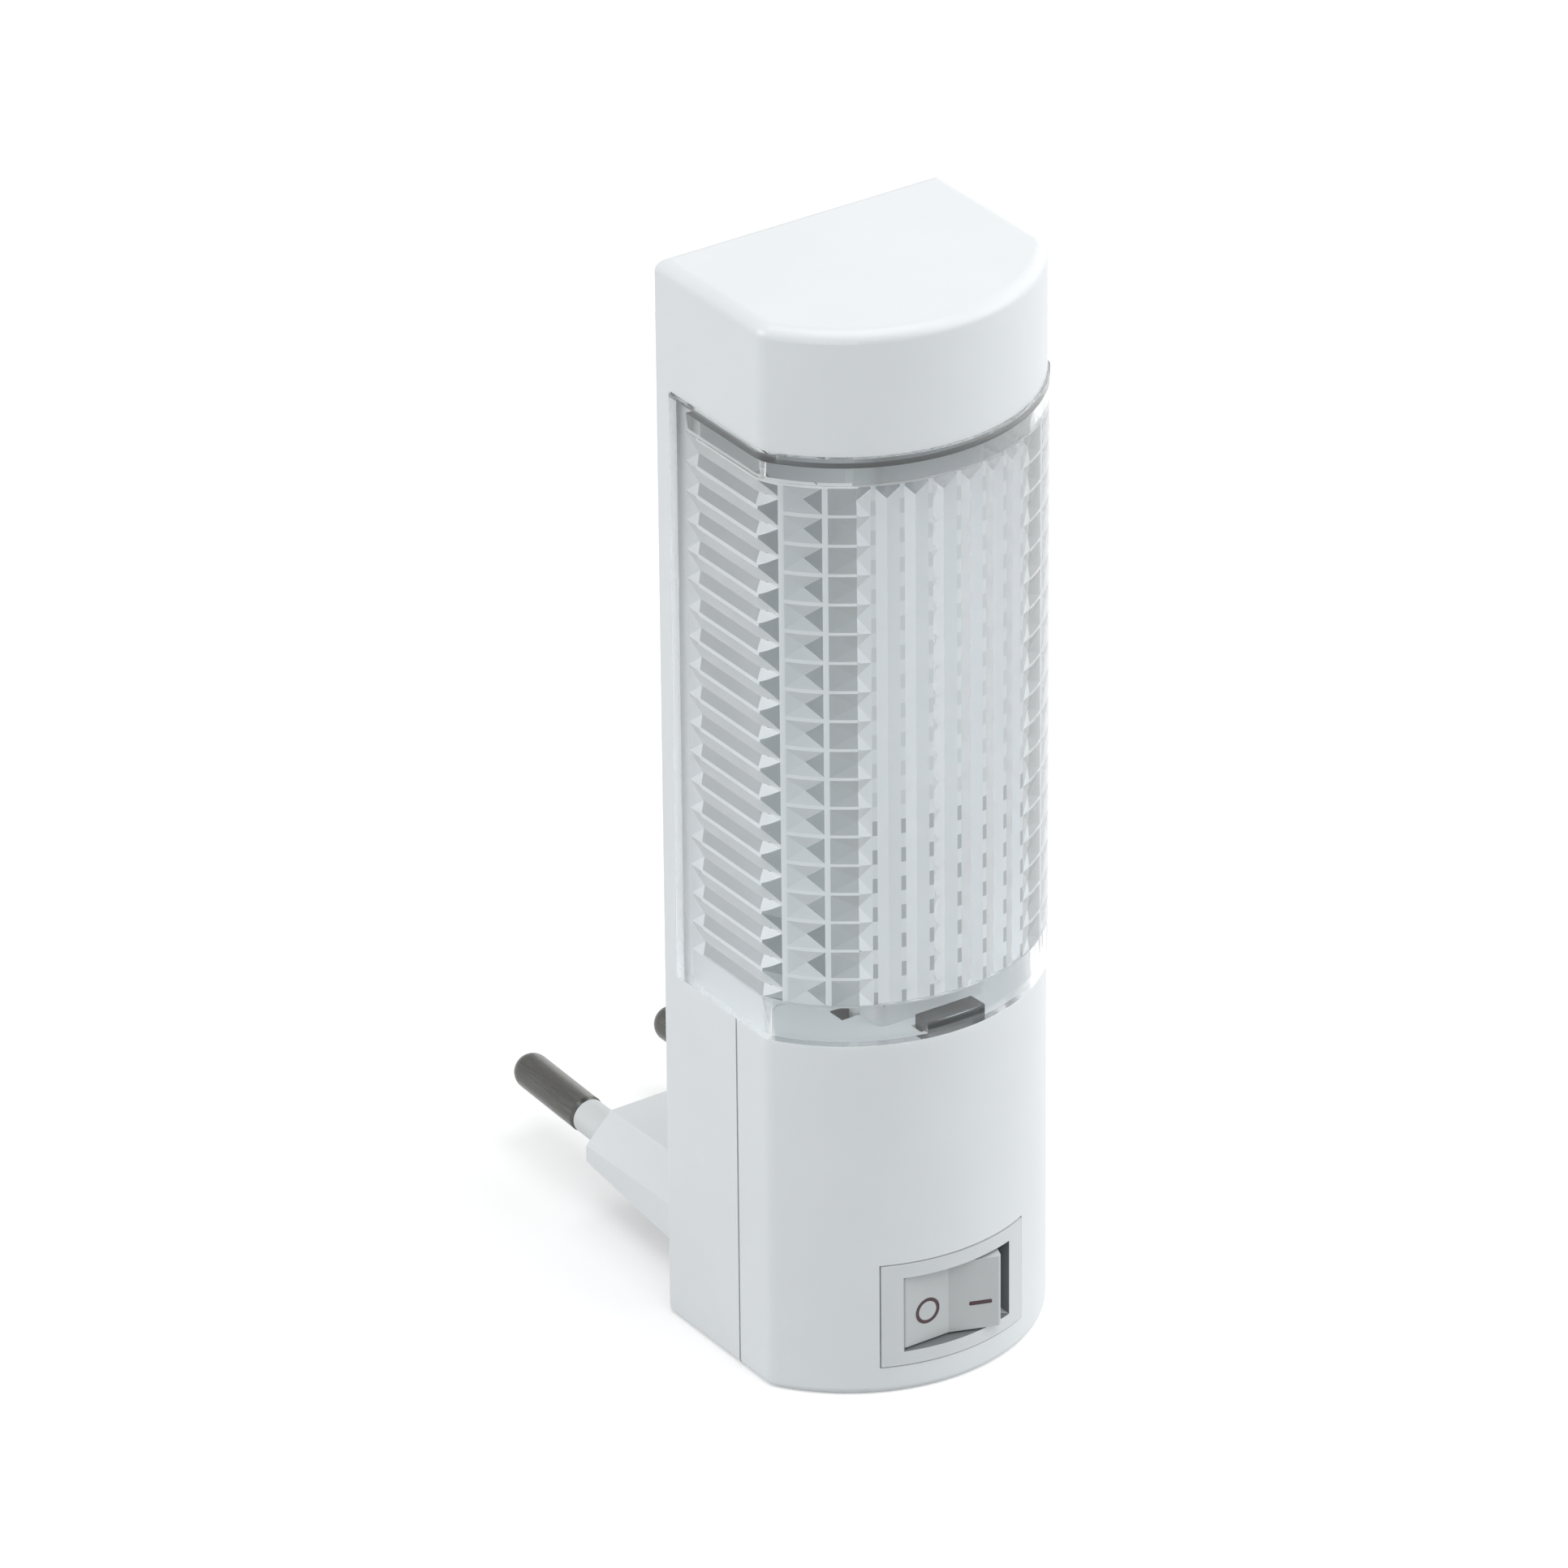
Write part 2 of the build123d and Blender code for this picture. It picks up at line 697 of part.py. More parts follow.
# The rocker, its plunger and its spring are drawn level, then turned to the rest pose,
# where the left end is pressed in.
rocker_axis = Axis((0, pivot_y, 0), (0, 0, 1))
rocker_height = switch_mouth_height - 2 * rocker_gap
rocker_half = switch_mouth_width / 2 - rocker_gap
tilt = radians(rocker_tilt)
# The face rises towards its ends, so that the pressed half stands square to the body
end_x = (rocker_half - rocker_face * sin(tilt)) / cos(tilt)
end_rise = end_x * tan(tilt)
root_half = end_x + (rocker_face + end_rise - rocker_root) * tan(tilt)
stem_end_y = pivot_y + stem_reach
plunger_end_y = pivot_y + plunger_reach
plunger_root_y = plunger_end_y - plunger_length
bore_diameter = plunger_diameter + 2 * slide_gap
bore_end_y = pivot_y - rocker_root - 1

with BuildPart() as level_rocker:
    with BuildSketch(Plane.XY.offset(switch_z - rocker_height / 2)):
        with BuildLine():
            Polyline(
                (0, pivot_y - rocker_face),
                (end_x, pivot_y - rocker_face - end_rise),
                (root_half, pivot_y - rocker_root),
                (-root_half, pivot_y - rocker_root),
                (-end_x, pivot_y - rocker_face - end_rise),
                close=True,
            )
        make_face()
    extrude(amount=rocker_height)
    fillet(level_rocker.edges().filter_by(Axis.Z).group_by(Axis.Y)[0], rocker_edge_radius)
    block(
        (-stem_width / 2, stem_width / 2),
        (pivot_y - rocker_root - 1, stem_end_y),
        (switch_z - stem_width / 2, switch_z + stem_width / 2),
    )
    for side in (-1, 1):
        cheek = (0, pivot_y, switch_z + side * stem_width / 2)
        rod(cheek, (0, pivot_y, switch_z + side * rocker_height / 2), 2 * trunnion_diameter)
        stub_end = (0, pivot_y, switch_z + side * (mouth_half_z + trunnion_reach))
        rod(cheek, stub_end, trunnion_diameter)
    rod((0, bore_end_y, switch_z), (0, stem_end_y, switch_z), bore_diameter, Mode.SUBTRACT)

with BuildPart() as switch_rocker:
    add(level_rocker.part.rotate(rocker_axis, -rocker_tilt))

switch_rocker.part.label = "switch_rocker"
export_step(switch_rocker.part, "parts/switch_rocker.step")

with BuildPart() as level_plunger:
    rod((0, plunger_root_y, switch_z), (0, plunger_end_y, switch_z), plunger_diameter)
    nose = level_plunger.edges().filter_by(GeomType.CIRCLE).sort_by(Axis.Y)[-1]
    fillet(nose, plunger_diameter / 2 - 0.05)

with BuildPart() as switch_plunger:
    add(level_plunger.part.rotate(rocker_axis, -rocker_tilt))

switch_plunger.part.label = "switch_plunger"
export_step(switch_plunger.part, "parts/switch_plunger.step")

spring_length = plunger_root_y - bore_end_y - spring_wire
spring_radius = plunger_diameter / 2 - spring_wire / 2

with BuildPart() as level_spring:
    with BuildLine() as coil:
        coil_start = (0, bore_end_y + spring_wire / 2, switch_z)
        Helix(spring_length / spring_turns, spring_length, spring_radius, coil_start, (0, 1, 0))
    with BuildSketch(Plane(origin=coil.line @ 0, z_dir=coil.line % 0)):
        Circle(spring_wire / 2)
    sweep(path=coil.line, is_frenet=True)

with BuildPart() as switch_spring:
    add(level_spring.part.rotate(rocker_axis, -rocker_tilt))

switch_spring.part.label = "switch_spring"
export_step(switch_spring.part, "parts/switch_spring.step")

# ---------------------------------------------------------------- contact blade and terminals

# The blade tips on the middle terminal. At rest its left end stands off the load contact.
blade_axis = Axis((0, blade_pivot_y, 0), (0, 0, 1))

with BuildPart() as level_blade:
    block(
        (-blade_half_length, blade_half_length),
        (blade_y, blade_pivot_y),
        (switch_z - blade_width / 2, switch_z + blade_width / 2),
    )
    fillet(level_blade.edges().filter_by(Axis.Y), 0.5)
    contact = (-contact_offset, blade_pivot_y, switch_z)
    rod(contact, (-contact_offset, blade_pivot_y + contact_height, switch_z), 2 * contact_radius)

with BuildPart() as contact_blade:
    add(level_blade.part.rotate(blade_axis, blade_tilt))

contact_blade.part.label = "contact_blade"
export_step(contact_blade.part, "parts/contact_blade.step")

ear_half = terminal_width / 2
notch_half = blade_width / 2 + contact_gap
terminal_z = (switch_z - ear_half, switch_z + ear_half)
tail_z = (switch_z - tail_width / 2, switch_z + tail_width / 2)
tip_y = blade_pivot_y + contact_gap

with BuildPart() as common_terminal:
    terminal_x = (-terminal_wall / 2, terminal_wall / 2)
    block(terminal_x, (tip_y - terminal_ear, switch_floor_y), terminal_z)
    block(terminal_x, (switch_floor_y, tail_end_y), tail_z)
    notch_z = (switch_z - notch_half, switch_z + notch_half)
    block(terminal_x, (tip_y - terminal_ear, tip_y), notch_z, Mode.SUBTRACT)
    notch = common_terminal.faces().filter_by(Axis.Y).filter_by_position(Axis.Y, tip_y - 0.01, tip_y + 0.01)
    fillet(notch.edges().filter_by(Axis.Z), terminal_wall / 2 - 0.05)

common_terminal.part.label = "common_terminal"
export_step(common_terminal.part, "parts/common_terminal.step")

with BuildPart() as load_terminal:
    block(
        (-contact_offset - terminal_width / 2 + 0.6, -contact_offset + terminal_width / 2),
        (plate_y, switch_floor_y),
        terminal_z,
    )
    block(
        (-contact_offset - terminal_wall / 2, -contact_offset + terminal_wall / 2),
        (switch_floor_y, tail_end_y),
        tail_z,
    )
    rod(
        (-contact_offset, plate_y - contact_height, switch_z),
        (-contact_offset, plate_y, switch_z),
        2 * contact_radius,
    )

load_terminal.part.label = "load_terminal"
export_step(load_terminal.part, "parts/load_terminal.step")

# ---------------------------------------------------------------- leads

lead_z = board_bottom_z + lead_height
turn_y = seam_y + neutral_turn
loop_y = tail_end_y + lead_loop
live_start = along_pin(1, tail_end)
neutral_start = along_pin(-1, tail_end)


def lead(points, radius):
    """A round lead along straight runs joined by arcs of one radius."""
    with BuildPart(mode=Mode.PRIVATE) as wire:
        with BuildLine() as route:
            FilletPolyline(*points, radius=radius)
        with BuildSketch(Plane(origin=route.line @ 0, z_dir=route.line % 0)):
            Circle(lead_diameter / 2)
        sweep(path=route.line)
    return wire.part


with BuildPart() as live_lead:
    add(lead([
        live_start,
        along_pin(1, tail_end - live_run),
        (pin_spacing / 4, loop_y, switch_z / 2),
        (0, loop_y, switch_z),
        (0, tail_end_y, switch_z),
    ], lead_bend))

live_lead.part.label = "live_lead"
export_step(live_lead.part, "parts/live_lead.step")

with BuildPart() as neutral_lead:
    add(lead([
        neutral_start,
        along_pin(-1, tail_end - neutral_run),
        (-neutral_offset - lead_diameter, turn_y, lead_z - lead_rise),
        (-neutral_offset, turn_y - 2 * lead_diameter, lead_z),
        (-neutral_offset, board_back_y, lead_z),
    ], neutral_bend))

neutral_lead.part.label = "neutral_lead"
export_step(neutral_lead.part, "parts/neutral_lead.step")

with BuildPart() as switched_lead:
    add(lead([
        (-contact_offset, tail_end_y, switch_z),
        (-contact_offset, loop_y - lead_diameter / 2, switch_z),
        (-contact_offset / 2, loop_y - lead_diameter / 2, switch_z + lead_rise),
        (0, tail_end_y + lead_diameter, lead_z),
        (0, board_back_y, lead_z),
    ], lead_bend))

switched_lead.part.label = "switched_lead"
export_step(switched_lead.part, "parts/switched_lead.step")
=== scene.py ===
import logging
import math
from dataclasses import dataclass, field
from enum import Enum

import bpy
from mathutils import Matrix, Vector


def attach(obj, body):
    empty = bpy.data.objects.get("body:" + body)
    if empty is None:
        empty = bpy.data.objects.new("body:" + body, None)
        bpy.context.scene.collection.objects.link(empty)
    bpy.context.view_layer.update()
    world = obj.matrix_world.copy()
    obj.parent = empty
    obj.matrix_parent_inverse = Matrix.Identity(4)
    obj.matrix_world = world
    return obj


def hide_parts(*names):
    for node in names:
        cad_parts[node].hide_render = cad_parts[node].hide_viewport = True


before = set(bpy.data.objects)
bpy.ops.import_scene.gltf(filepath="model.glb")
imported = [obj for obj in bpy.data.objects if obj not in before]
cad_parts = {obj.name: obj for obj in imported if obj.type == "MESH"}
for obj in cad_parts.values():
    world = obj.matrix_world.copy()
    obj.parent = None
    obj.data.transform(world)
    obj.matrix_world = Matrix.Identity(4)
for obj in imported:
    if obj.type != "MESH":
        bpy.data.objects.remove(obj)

MM = 0.001
# How far off its nominal place, in millimetres, a point may lie
TOUCH = 0.01
# A unit vector is upright if more of it than this is vertical, and level if less is
UPRIGHT = 0.999
LEVEL = 0.01
WHITE = "#FFFFFF"
BLACK = "#000000"

log = logging.getLogger("night_light")


class Body(Enum):
    """The bodies of the night light that pieces ride on."""

    HOUSING = "housing"
    ROCKER = "rocker"


# ---------------------------------------------------------------- materials


def linear(colour: str) -> tuple[float, float, float, float]:
    """Turns an sRGB hex colour into linear light.

    Args:
        colour: Six hex digits with a leading hash.

    Returns:
        Red, green and blue in linear light, and an alpha of 1.
    """
    parts = [int(colour[i : i + 2], 16) / 255 for i in (1, 3, 5)]
    return (*[c / 12.92 if c <= 0.04045 else ((c + 0.055) / 1.055) ** 2.4 for c in parts], 1.0)


def add_node(
    owner: bpy.types.ID,
    kind: str,
    sockets: dict[str | int, object] | None = None,
    stops: list[tuple[float, str]] | None = None,
    sharp: bool = False,
    **settings: object,
) -> bpy.types.Node:
    """Adds a shader node with its settings and links.

    Args:
        owner: The material or world that gets the node.
        kind: The node's type, without the leading ShaderNode.
        sockets: Input name or index to a value, or to an output socket to link from.
        stops: For a colour ramp, places from 0 to 1 with their hex colours.
        sharp: For a colour ramp, True for bands with hard edges.
        settings: The node's own properties.

    Returns:
        The new node.
    """
    node = owner.node_tree.nodes.new("ShaderNode" + kind)
    for key, value in settings.items():
        setattr(node, key, value)
    for key, value in (sockets or {}).items():
        if isinstance(value, bpy.types.NodeSocket):
            owner.node_tree.links.new(value, node.inputs[key])
        else:
            node.inputs[key].default_value = value
    if stops:
        band = node.color_ramp
        band.interpolation = "CONSTANT" if sharp else "LINEAR"
        while len(band.elements) < len(stops):
            band.elements.new(0.5)
        for element, (position, colour) in zip(band.elements, stops):
            element.position = position
            element.color = linear(colour)
    return node


def blank(name: str) -> bpy.types.Material:
    """Makes an empty node material.

    Args:
        name: The material's name.

    Returns:
        The material, without nodes.
    """
    material = bpy.data.materials.new(name)
    material.use_nodes = True
    material.node_tree.nodes.clear()
    return material


def per_mm(size: float) -> float:
    """Gives a texture's scale for a feature of this size in millimetres."""
    return 1 / (size * MM)


def shows_background(owner: bpy.types.ID) -> bpy.types.NodeSocket:
    """Tells which rays see the plain background.

    Args:
        owner: The material or world that asks.

    Returns:
        1 for the camera's own rays and for those that metal and glass send on, else 0.
    """
    ray = add_node(owner, "LightPath").outputs
    mirrored = add_node(
        owner, "Math", {0: ray["Is Camera Ray"], 1: ray["Is Glossy Ray"]}, operation="MAXIMUM"
    ).outputs["Value"]
    sent_on = add_node(
        owner, "Math", {0: mirrored, 1: ray["Is Transmission Ray"]}, operation="MAXIMUM"
    ).outputs["Value"]
    # Light that a matt face has scattered is left out, or the lens would fill with white
    unscattered = add_node(
        owner, "Math", {0: ray["Diffuse Depth"], 1: 0.5}, operation="LESS_THAN"
    ).outputs["Value"]
    shown = add_node(owner, "Math", {0: sent_on, 1: unscattered}, operation="MULTIPLY")
    return shown.outputs["Value"]


@dataclass(frozen=True)
class MouldedPlastic:
    """Injection moulded plastic: an even colour, a fine tooled grain and a satin gloss.

    Mottle, grain, relief and scatter are sizes in millimetres.
    """

    name: str
    colour: str
    second: str
    roughness: float
    roughness_spread: float = 0.06
    mottle: float = 11.0
    grain: float = 0.22
    relief: float = 0.0025
    bump: float = 0.6
    see_inside: float = 0.0
    scatter: float = 0.8
    ior: float = 1.53

    def make(self) -> bpy.types.Material:
        """Builds the material.

        Returns:
            The finished material.
        """
        material = blank(self.name)
        where = add_node(material, "TexCoord").outputs["Object"]
        cloud = add_node(
            material, "TexNoise", {"Vector": where, "Scale": per_mm(self.mottle), "Detail": 3.0}
        ).outputs["Fac"]
        fine = add_node(
            material, "TexNoise", {"Vector": where, "Scale": per_mm(self.grain), "Detail": 1.0}
        ).outputs["Fac"]
        colour = add_node(
            material, "ValToRGB", {"Fac": cloud}, [(0.3, self.colour), (0.7, self.second)]
        )
        gloss = add_node(
            material,
            "MapRange",
            {
                "Value": cloud,
                "To Min": self.roughness - self.roughness_spread,
                "To Max": self.roughness + self.roughness_spread,
            },
        )
        bump = add_node(
            material,
            "Bump",
            {"Height": fine, "Strength": self.bump, "Distance": self.relief * MM},
        )
        shader = add_node(
            material,
            "BsdfPrincipled",
            {
                "Base Color": colour.outputs["Color"],
                "Roughness": gloss.outputs["Result"],
                "IOR": self.ior,
                "Normal": bump.outputs["Normal"],
                "Subsurface Weight": self.see_inside,
                "Subsurface Scale": self.scatter * MM,
            },
        )
        add_node(material, "OutputMaterial", {"Surface": shader.outputs["BSDF"]})
        return material


@dataclass(frozen=True)
class ClearPlastic:
    """Injection moulded clear styrene: colourless, glossy, with faint flow haze.

    Haze is a size in millimetres, and clarity is the share of light that goes through.
    """

    name: str
    tint: str
    roughness: float
    clarity: float = 1.0
    shadow: str = "#FCFDFD"
    haze: float = 14.0
    roughness_spread: float = 0.5
    ior: float = 1.49

    def make(self) -> bpy.types.Material:
        """Builds the material, whose shadow lets the lamps' light through.

        Returns:
            The finished material.
        """
        material = blank(self.name)
        where = add_node(material, "TexCoord").outputs["Object"]
        cloud = add_node(material, "TexNoise", {"Vector": where, "Scale": per_mm(self.haze)})
        gloss = add_node(
            material,
            "MapRange",
            {
                "Value": cloud.outputs["Fac"],
                "To Min": self.roughness * (1 - self.roughness_spread),
                "To Max": self.roughness * (1 + self.roughness_spread),
            },
        )
        shader = add_node(
            material,
            "BsdfPrincipled",
            {
                "Base Color": linear(self.tint),
                "Roughness": gloss.outputs["Result"],
                "IOR": self.ior,
                "Transmission Weight": self.clarity,
            },
        )
        through = add_node(material, "BsdfTransparent", {"Color": linear(self.shadow)})
        shadow_ray = add_node(material, "LightPath").outputs["Is Shadow Ray"]
        mixed = add_node(
            material,
            "MixShader",
            {0: shadow_ray, 1: shader.outputs["BSDF"], 2: through.outputs["BSDF"]},
        )
        add_node(material, "OutputMaterial", {"Surface": mixed.outputs["Shader"]})
        return material


@dataclass(frozen=True)
class Metal:
    """Drawn, stamped or plated metal: fine lines along one axis from how it was worked.

    Line and relief are sizes in millimetres, and stretch draws the lines out along one axis.
    """

    name: str
    colour: str
    second: str
    roughness: float
    roughness_spread: float = 0.07
    line: float = 0.12
    stretch: tuple[float, float, float] = (1.0, 0.04, 1.0)
    relief: float = 0.002
    bump: float = 0.5

    def make(self) -> bpy.types.Material:
        """Builds the material.

        Returns:
            The finished material.
        """
        material = blank(self.name)
        where = add_node(material, "TexCoord").outputs["Object"]
        turned = add_node(material, "Mapping", {"Vector": where, "Scale": self.stretch})
        drawn = add_node(
            material,
            "TexNoise",
            {"Vector": turned.outputs["Vector"], "Scale": per_mm(self.line), "Detail": 2.0},
        ).outputs["Fac"]
        colour = add_node(
            material, "ValToRGB", {"Fac": drawn}, [(0.3, self.colour), (0.7, self.second)]
        )
        gloss = add_node(
            material,
            "MapRange",
            {
                "Value": drawn,
                "To Min": self.roughness - self.roughness_spread,
                "To Max": self.roughness + self.roughness_spread,
            },
        )
        bump = add_node(
            material,
            "Bump",
            {"Height": drawn, "Strength": self.bump, "Distance": self.relief * MM},
        )
        shader = add_node(
            material,
            "BsdfPrincipled",
            {
                "Base Color": colour.outputs["Color"],
                "Metallic": 1.0,
                "Roughness": gloss.outputs["Result"],
                "Normal": bump.outputs["Normal"],
            },
        )
        add_node(material, "OutputMaterial", {"Surface": shader.outputs["BSDF"]})
        return material


class Along(Enum):
    """The axis that a part's bands follow."""

    X = "X"
    Y = "Y"
    Z = "Z"


@dataclass(frozen=True)
class BandedPart:
    """A leaded component: a coated body with bands along one axis, and bare tinned legs beyond it.

    Middle, length, ripple and relief are in millimetres. Stops and end are shares of the length.
    """

    name: str
    axis: Along
    middle: float
    length: float
    stops: tuple[tuple[float, str], ...]
    both_sides: bool = False
    legs: str = "#B9BBBB"
    roughness: float = 0.32
    ripple: float = 0.6
    relief: float = 0.01
    bump: float = 0.3
    end: float = 0.012

    def make(self) -> bpy.types.Material:
        """Builds the material, with bands at shares of the body's length.

        Returns:
            The finished material.
        """
        material = blank(self.name)
        where = add_node(material, "TexCoord").outputs["Object"]
        along = add_node(material, "SeparateXYZ", {"Vector": where}).outputs[self.axis.value]
        if self.both_sides:
            along = add_node(material, "Math", {0: along}, operation="ABSOLUTE").outputs["Value"]
        share = add_node(
            material,
            "MapRange",
            {
                "Value": along,
                "From Min": (self.middle - self.length / 2) * MM,
                "From Max": (self.middle + self.length / 2) * MM,
            },
        ).outputs["Result"]
        inner = [(max(position, self.end), colour) for position, colour in self.stops]
        bands = [(0.0, self.legs), *inner, (1 - self.end, self.legs)]
        bare = [(0.0, WHITE), (self.end, BLACK), (1 - self.end, WHITE)]
        colour = add_node(material, "ValToRGB", {"Fac": share}, bands, sharp=True)
        metallic = add_node(material, "ValToRGB", {"Fac": share}, bare, sharp=True)
        fine = add_node(material, "TexNoise", {"Vector": where, "Scale": per_mm(self.ripple)})
        bump = add_node(
            material,
            "Bump",
            {"Height": fine.outputs["Fac"], "Strength": self.bump, "Distance": self.relief * MM},
        )
        shader = add_node(
            material,
            "BsdfPrincipled",
            {
                "Base Color": colour.outputs["Color"],
                "Metallic": metallic.outputs["Color"],
                "Roughness": self.roughness,
                "Normal": bump.outputs["Normal"],
            },
        )
        add_node(material, "OutputMaterial", {"Surface": shader.outputs["BSDF"]})
        return material


@dataclass(frozen=True)
class LedPackage:
    """Surface-mounted white LED: a moulded white cup round a square window of yellow phosphor gel.

    First_z, pitch, window, grain and relief are in millimetres.
    """

    name: str = "led_cup_and_phosphor"
    first_z: float = 40.5
    pitch: float = 10.0
    window: tuple[float, float] = (2.0, 2.6)
    cup: str = "#E6E6E0"
    gel: str = "#E3C85C"
    roughness: float = 0.35
    grain: float = 0.2
    relief: float = 0.01
    bump: float = 0.3

    def make(self) -> bpy.types.Material:
        """Builds the material, with one window for each LED up the board.

        Returns:
            The finished material.
        """
        material = blank(self.name)
        where = add_node(material, "TexCoord").outputs["Object"]
        split = add_node(material, "SeparateXYZ", {"Vector": where}).outputs
        # Distance from the nearest LED's middle, across the board and up it
        across = add_node(material, "Math", {0: split["X"]}, operation="ABSOLUTE")
        up = add_node(
            material,
            "Math",
            {0: split["Z"], 1: (self.pitch - self.first_z) * MM},
            operation="ADD",
        ).outputs["Value"]
        fold = add_node(material, "Math", {0: up, 1: self.pitch / 2 * MM}, operation="PINGPONG")
        within = [
            add_node(
                material,
                "Math",
                {0: distance.outputs["Value"], 1: size / 2 * MM},
                operation="LESS_THAN",
            ).outputs["Value"]
            for distance, size in zip((across, fold), self.window)
        ]
        inside = add_node(material, "Math", {0: within[0], 1: within[1]}, operation="MULTIPLY")
        colour = add_node(
            material,
            "ValToRGB",
            {"Fac": inside.outputs["Value"]},
            [(0.0, self.cup), (0.5, self.gel)],
            sharp=True,
        )
        fine = add_node(material, "TexNoise", {"Vector": where, "Scale": per_mm(self.grain)})
        bump = add_node(
            material,
            "Bump",
            {"Height": fine.outputs["Fac"], "Strength": self.bump, "Distance": self.relief * MM},
        )
        shader = add_node(
            material,
            "BsdfPrincipled",
            {
                "Base Color": colour.outputs["Color"],
                "Roughness": self.roughness,
                "Normal": bump.outputs["Normal"],
            },
        )
        add_node(material, "OutputMaterial", {"Surface": shader.outputs["BSDF"]})
        return material


Finish = MouldedPlastic | ClearPlastic | Metal | BandedPart | LedPackage

# ABS from a polished mould: near white, with a soft satin sheen
HOUSING_WHITE = MouldedPlastic("white_moulded_abs", "#EEF2F4", "#F1F5F7", roughness=0.34)
# The same ABS in the switch's frame, a touch greyer and glossier
SWITCH_WHITE = MouldedPlastic("white_switch_abs", "#E1E5E7", "#E4E8EA", roughness=0.3)
# Nylon rocker: a little greyer and smoother than the housing
ROCKER_GREY = MouldedPlastic(
    "pale_grey_rocker_nylon", "#CBCFD0", "#CFD3D4", roughness=0.3, grain=0.18
)
# Painted shade: dark grey on the walls of the switch's mouth and of its frame's seat, which shows
# as dark lines round the rocker
SWITCH_MOUTH_PAINTED_SHADE = MouldedPlastic(
    "painted_shade_switch_mouth", "#7D8183", "#868A8C", roughness=0.5, relief=0.005
)
# Painted shade: the deck's ABS inside the board's slot, near black where hardly any light reaches
SLOT_DARK = MouldedPlastic("unlit_slot_abs", "#1B1D1E", "#222425", roughness=0.6, relief=0.005)
# Milky polycarbonate: light scatters inside it, so it has no sharp highlights
DIFFUSER_MILK = MouldedPlastic(
    "opal_diffuser_polycarbonate", "#DDE0E2", "#E2E5E7", roughness=0.45, see_inside=0.25
)
# Nylon sleeve over the pin's root: white and matt
SLEEVE_WHITE = MouldedPlastic("white_nylon_pin_sleeve", "#DFE3E4", "#E3E7E8", roughness=0.42)
# Recycled ABS: mid grey and dull, as nobody sees it once the boss is closed
RETAINER_GREY = MouldedPlastic(
    "grey_retainer_abs", "#A9AEB0", "#B3B8BA", roughness=0.5, relief=0.006
)
# Uncoloured acetal: a warm white with a slippery shine
PLUNGER_WHITE = MouldedPlastic("natural_acetal_plunger", "#E4E3DA", "#EAE9E2", roughness=0.28)
# Pad-printed ink: thin, matt and a little uneven at its edge
MARK_INK = MouldedPlastic(
    "dark_pad_printed_ink", "#3B2A2D", "#4A3438", roughness=0.6, grain=0.08, relief=0.004
)
# Film capacitor dipped in epoxy: glossy yellow with soft waves
FILM_YELLOW = MouldedPlastic(
    "dipped_yellow_epoxy",
    "#C98A1E",
    "#D6992B",
    roughness=0.28,
    mottle=3.0,
    grain=0.8,
    relief=0.02,
)
# Extruded wire insulation: plain colours with a dull sheen
LEAD_BROWN, LEAD_BLUE, LEAD_BLACK = (
    MouldedPlastic(name, colour, second, roughness=0.45, mottle=4.0, grain=0.3, relief=0.006)
    for name, colour, second in (
        ("brown_wire_pvc", "#5B3521", "#663D28"),
        ("blue_wire_pvc", "#2B5E9C", "#3168A8"),
        ("black_wire_pvc", "#202224", "#292B2D"),
    )
)
# Circuit board under white solder mask: bright, smooth and slightly wavy over the glass cloth
BOARD_WHITE = MouldedPlastic(
    "white_solder_mask_laminate", "#E8ECEA", "#EEF1EF", roughness=0.33, grain=0.35, relief=0.01
)
# White cups with phosphor gel, warm yellow when they aren't lit
LED_CUPS = LedPackage()
# Metal film resistors: blue lacquer with colour rings
RESISTOR_LACQUER = "#5B9BB8"
RESISTOR_BLUE = BandedPart(
    "blue_resistor_lacquer",
    Along.X,
    middle=4.75,
    length=6.3,
    stops=(
        (0.0, RESISTOR_LACQUER),
        (0.14, "#7A3B1E"),
        (0.21, RESISTOR_LACQUER),
        (0.31, "#1E1E1E"),
        (0.38, RESISTOR_LACQUER),
        (0.48, "#C8761F"),
        (0.55, RESISTOR_LACQUER),
        (0.78, "#8A5A2B"),
        (0.85, RESISTOR_LACQUER),
    ),
    both_sides=True,
)
# Rectifier diodes: black moulded epoxy with a silver ring at the cathode
DIODE_BLACK = BandedPart(
    "black_diode_epoxy",
    Along.Z,
    middle=24.0,
    length=5.2,
    stops=((0.0, "#1F2022"), (0.74, "#B8BABA"), (0.88, "#1F2022")),
    roughness=0.45,
)
# Electrolytic can: shrunk dark sleeve over aluminium, bare at its end
CAN_SLEEVE = BandedPart(
    "dark_capacitor_sleeve",
    Along.Y,
    middle=-32.1,
    length=11.2,
    stops=((0.0, "#23262B"), (0.965, "#A9ABAB")),
    roughness=0.38,
)
# Nickel plate on drawn brass, its colour darkened all over as a painted reflection of the dark side
# of a room
PIN_NICKEL_PAINTED_DARK = Metal("nickel_brass_painted_dark_reflection", "#595957", "#636361", roughness=0.27)
# Zinc plate on cold-headed steel: pale grey with a soft shine
SCREW_STEEL = Metal(
    "zinc_plated_screw_steel", "#9A9C9E", "#A9ABAD", roughness=0.34, stretch=(1.0, 0.3, 1.0)
)
# Drawn spring wire: bright, with fine lines
SPRING_STEEL = Metal("bright_spring_steel", "#8E9092", "#A0A2A4", roughness=0.25, line=0.08)
# Rolled brass strip: yellow, with its lines along the blade
CONTACT_BRASS = Metal(
    "rolled_contact_brass", "#B08D46", "#C09D54", roughness=0.3, stretch=(0.05, 1.0, 1.0)
)
# Stamped brass under thin tin: a dull, paler yellow
TERMINAL_BRASS = Metal(
    "tinned_stamped_brass", "#A9946A", "#B7A47C", roughness=0.36, stretch=(1.0, 0.05, 1.0)
)


